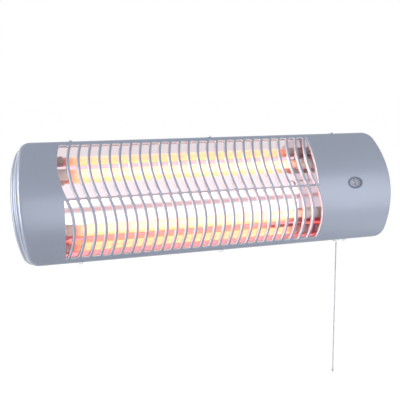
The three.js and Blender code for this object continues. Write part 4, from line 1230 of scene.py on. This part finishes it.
class HEATER_OT_works(bpy.types.Operator):
    """Finishes the switch, the wiring and the other pieces inside the housing."""

    bl_idname = "heater.works"
    bl_label = "Switch and wiring"

    def execute(self, context):
        for name, key, body, slot in (
            ("switch_body", "white_nylon", "housing", "white_nylon"),
            ("pull_slider", "white_nylon", "pull", "white_nylon"),
            ("ratchet_wheel", "white_nylon", "drum", "white_nylon"),
            ("terminal_block", "white_nylon", "housing", "white_nylon"),
            ("inlet_clamp", "white_nylon", "housing", "white_nylon"),
            ("thermal_cutout", "grey_abs_with_painted_shade", "housing", "grey_plastic"),
            ("drum_shaft", "zinc_plate", "drum", "zinc_steel"),
        ):
            softened(name, key, body, slot)
        top, bottom = 29.7, 20.3  # the spring's hanger and the slider's top

        def line_place(z):
            return Vector((CORD_X, at(CORD_DEPTH), z))

        middle = HOUSING @ Matrix.Translation(line_place((top + bottom) / 2))
        upright = middle @ ALONG_X @ Matrix.Scale(1 / MM, 4)
        spring = wound("return_spring_wound", "zinc_plate", None, upright, 9, 2.1 * MM,
                       0.28 * MM, (top - bottom - 0.6) * MM)
        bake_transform(spring)
        stands_for(spring, "zinc_steel", "return_spring")
        front, rear = WALL - BODY_DEPTH, -BODY_DEPTH  # the two faces of the shell's back
        bore, groove, flange = 3.4, 5.7, 7.6
        section = [(bore, front + 2), (flange, front + 2), (flange, front + 0.3),
                   (groove, front + 0.3), (groove, rear - 0.3), (flange, rear - 0.3),
                   (flange, rear - 2), (bore, rear - 2)]
        inlet = Matrix.Translation((INLET[0], at(0), INLET[1]))
        back = HOUSING @ inlet @ Matrix.Rotation(math.pi / 2, 4, "X")
        grommet = turned_ring(section, 0.8, 3, UPRIGHT, 36)
        piece = grommet.piece("inlet_grommet_moulded", "black_rubber", "housing", back)
        stands_for(piece, "black_rubber", "inlet_grommet")
        leads = ["lead_top", "lead_bottom", "lead_switch", "jumper_lead_top", "jumper_lead_bottom"]
        coated(leads, "glass_fibre")
        return {"FINISHED"}


# ---- stage ---------------------------------------------------------------------------------------
CAMERA_TARGET = Vector((-28.6, -83.9, 6.2))
ROOM_LEVELS = (0.19, 1.35)  # the room's light, and the room as polished metal mirrors it
FLOOR_REACH = 12.0  # metres to each side
FLOOR_DROP = 3.0


def seen_directly(tree):
    """1 for what the camera sees, straight or through a lens."""
    path = node(tree, "ShaderNodeLightPath").outputs
    rays = {0: path["Is Camera Ray"], 1: path["Is Transmission Ray"]}
    return node(tree, "ShaderNodeMath", rays, operation="MAXIMUM")


def lamp(name, place, target, power, width, height, code="#FFFFFF"):
    """A soft rectangular lamp."""
    light = bpy.data.lights.new(name, "AREA")
    light.shape = "RECTANGLE"
    light.size, light.size_y = width, height
    light.energy = power
    light.color = linear(code)
    held = placed(name, light)
    held.visible_camera = False
    held.location = place
    held.rotation_euler = (Vector(place) - Vector(target)).to_track_quat("Z", "Y").to_euler()
    return held


class HEATER_OT_stage(bpy.types.Operator):
    """Sets the camera, the white floor, the room's light and the lamps."""

    bl_idname = "heater.stage"
    bl_label = "Stage"

    def execute(self, context):
        scene = context.scene
        sizes = scene.heater_stage
        a, e = sizes.azimuth, sizes.elevation
        back = Vector((math.sin(a) * math.cos(e), -math.cos(a) * math.cos(e), math.sin(e)))
        view = bpy.data.cameras.new("camera")
        view.lens = sizes.lens
        view.sensor_width = 36
        view.clip_start, view.clip_end = 0.01, 100
        camera = placed("camera", view)
        camera.location = CAMERA_TARGET * MM + back * sizes.distance
        camera.rotation_euler = back.to_track_quat("Z", "Y").to_euler()
        scene.camera = camera
        scene.view_settings.view_transform = "Standard"
        centre = (0, -0.06, 0)
        lamp("key_lamp", (0.72, -1.75, 0.12), centre, 10, 1.4, 1.6)
        lamp("left_lamp", (-1.5, -0.2, 0.28), centre, 30, 0.8, 1.2)
        lamp("right_lamp", (1.6, -0.8, -0.05), centre, 5, 0.9, 0.9)
        low = lamp("low_lamp", (0.5, -0.5, -0.2), (0.2, -0.09, 0), 2.2, 0.4, 0.12)
        low.visible_glossy = False
        for name, z in (("glow_top", TUBE_Z), ("glow_bottom", -TUBE_Z)):
            place = HOUSING @ Vector((GRILLE_X, at(TUBE_DEPTH - 6.5), z))
            target = HOUSING @ Vector((GRILLE_X, at(0), z))
            glow = lamp(name, place, target, 0.35, 0.288, 0.009, "#FFB4A8")
            glow.visible_glossy = glow.visible_transmission = False
            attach(glow, "housing")
        self.room(scene)
        self.floor(sizes)
        return {"FINISHED"}

    def room(self, scene):
        world = bpy.data.worlds.new("room")
        scene.world = world
        world.use_nodes = True
        tree = world.node_tree
        tree.nodes.clear()
        mirrored = node(tree, "ShaderNodeLightPath").outputs["Is Glossy Ray"]
        span = {"Value": mirrored, "To Min": ROOM_LEVELS[0], "To Max": ROOM_LEVELS[1]}
        level = node(tree, "ShaderNodeMapRange", span)
        soft = node(tree, "ShaderNodeBackground", {0: (0.97, 0.98, 1, 1), 1: level})
        white = node(tree, "ShaderNodeBackground", {0: (1, 1, 1, 1), 1: 1.0})
        mix = node(tree, "ShaderNodeMixShader", {0: seen_directly(tree), 1: soft, 2: white})
        node(tree, "ShaderNodeOutputWorld", {0: mix})

    def floor(self, sizes):
        made, tree, place = blank("white_floor")
        dust = grain(tree, place, 40)
        tones = {0: dust, 6: shaded(sizes.floor, 0.99), 7: shaded(sizes.floor, 1.01)}
        hue = node(tree, "ShaderNodeMix", tones, data_type="RGBA").outputs[2]
        matt = node(tree, "ShaderNodeBsdfDiffuse", {"Color": hue})
        pale = node(tree, "ShaderNodeBsdfDiffuse", {"Color": (0.2, 0.2, 0.2, 1)})
        glow = node(tree, "ShaderNodeEmission", {0: (1, 1, 1, 1), 1: 0.96})
        seen = node(tree, "ShaderNodeAddShader", {0: pale, 1: glow})
        mirrored = node(tree, "ShaderNodeLightPath").outputs["Is Glossy Ray"]
        rays = {0: seen_directly(tree), 1: mirrored}
        plain = node(tree, "ShaderNodeMath", rays, operation="MAXIMUM")
        mix = node(tree, "ShaderNodeMixShader", {0: plain, 1: matt, 2: seen})
        node(tree, "ShaderNodeOutputMaterial", {0: mix})
        level = CAD_BOX[0].z - FLOOR_DROP * MM
        corners = [(x * FLOOR_REACH, y * FLOOR_REACH, level)
                   for x, y in ((-1, -1), (1, -1), (1, 1), (-1, 1))]
        mesh = bpy.data.meshes.new("floor")
        mesh.from_pydata(corners, [], [(0, 1, 2, 3)])
        mesh.materials.append(made)
        placed("floor", mesh)


class HEATER_PT_sidebar(bpy.types.Panel):
    """Lists what builds the heater, with its sizes."""

    bl_label = "Quartz bar heater"
    bl_space_type = "VIEW_3D"
    bl_region_type = "UI"
    bl_category = "Heater"

    def draw(self, context):
        for group in GROUPS:
            box = self.layout.box()
            settings = getattr(context.scene, group)
            for key in settings.__annotations__:
                box.prop(settings, key)
        for operator in OPERATORS:
            self.layout.operator(operator.bl_idname)


OPERATORS = (
    HEATER_OT_stage,
    HEATER_OT_pull_cord,
    HEATER_OT_front_panel,
    HEATER_OT_rear_shell,
    HEATER_OT_reflector,
    HEATER_OT_tubes,
    HEATER_OT_window,
    HEATER_OT_screws,
    HEATER_OT_brackets,
    HEATER_OT_works,
)
CLASSES = (*GROUPS.values(), *OPERATORS, HEATER_PT_sidebar)


def register():
    for each in CLASSES:
        bpy.utils.register_class(each)
    for name, group in GROUPS.items():
        setattr(bpy.types.Scene, name, PointerProperty(type=group))


def unregister():
    for name in GROUPS:
        delattr(bpy.types.Scene, name)
    for each in reversed(CLASSES):
        bpy.utils.unregister_class(each)


def main():
    register()
    for operator in OPERATORS:
        family, name = operator.bl_idname.split(".")
        getattr(getattr(bpy.ops, family), name)()


if __name__ == "__main__":
    main()
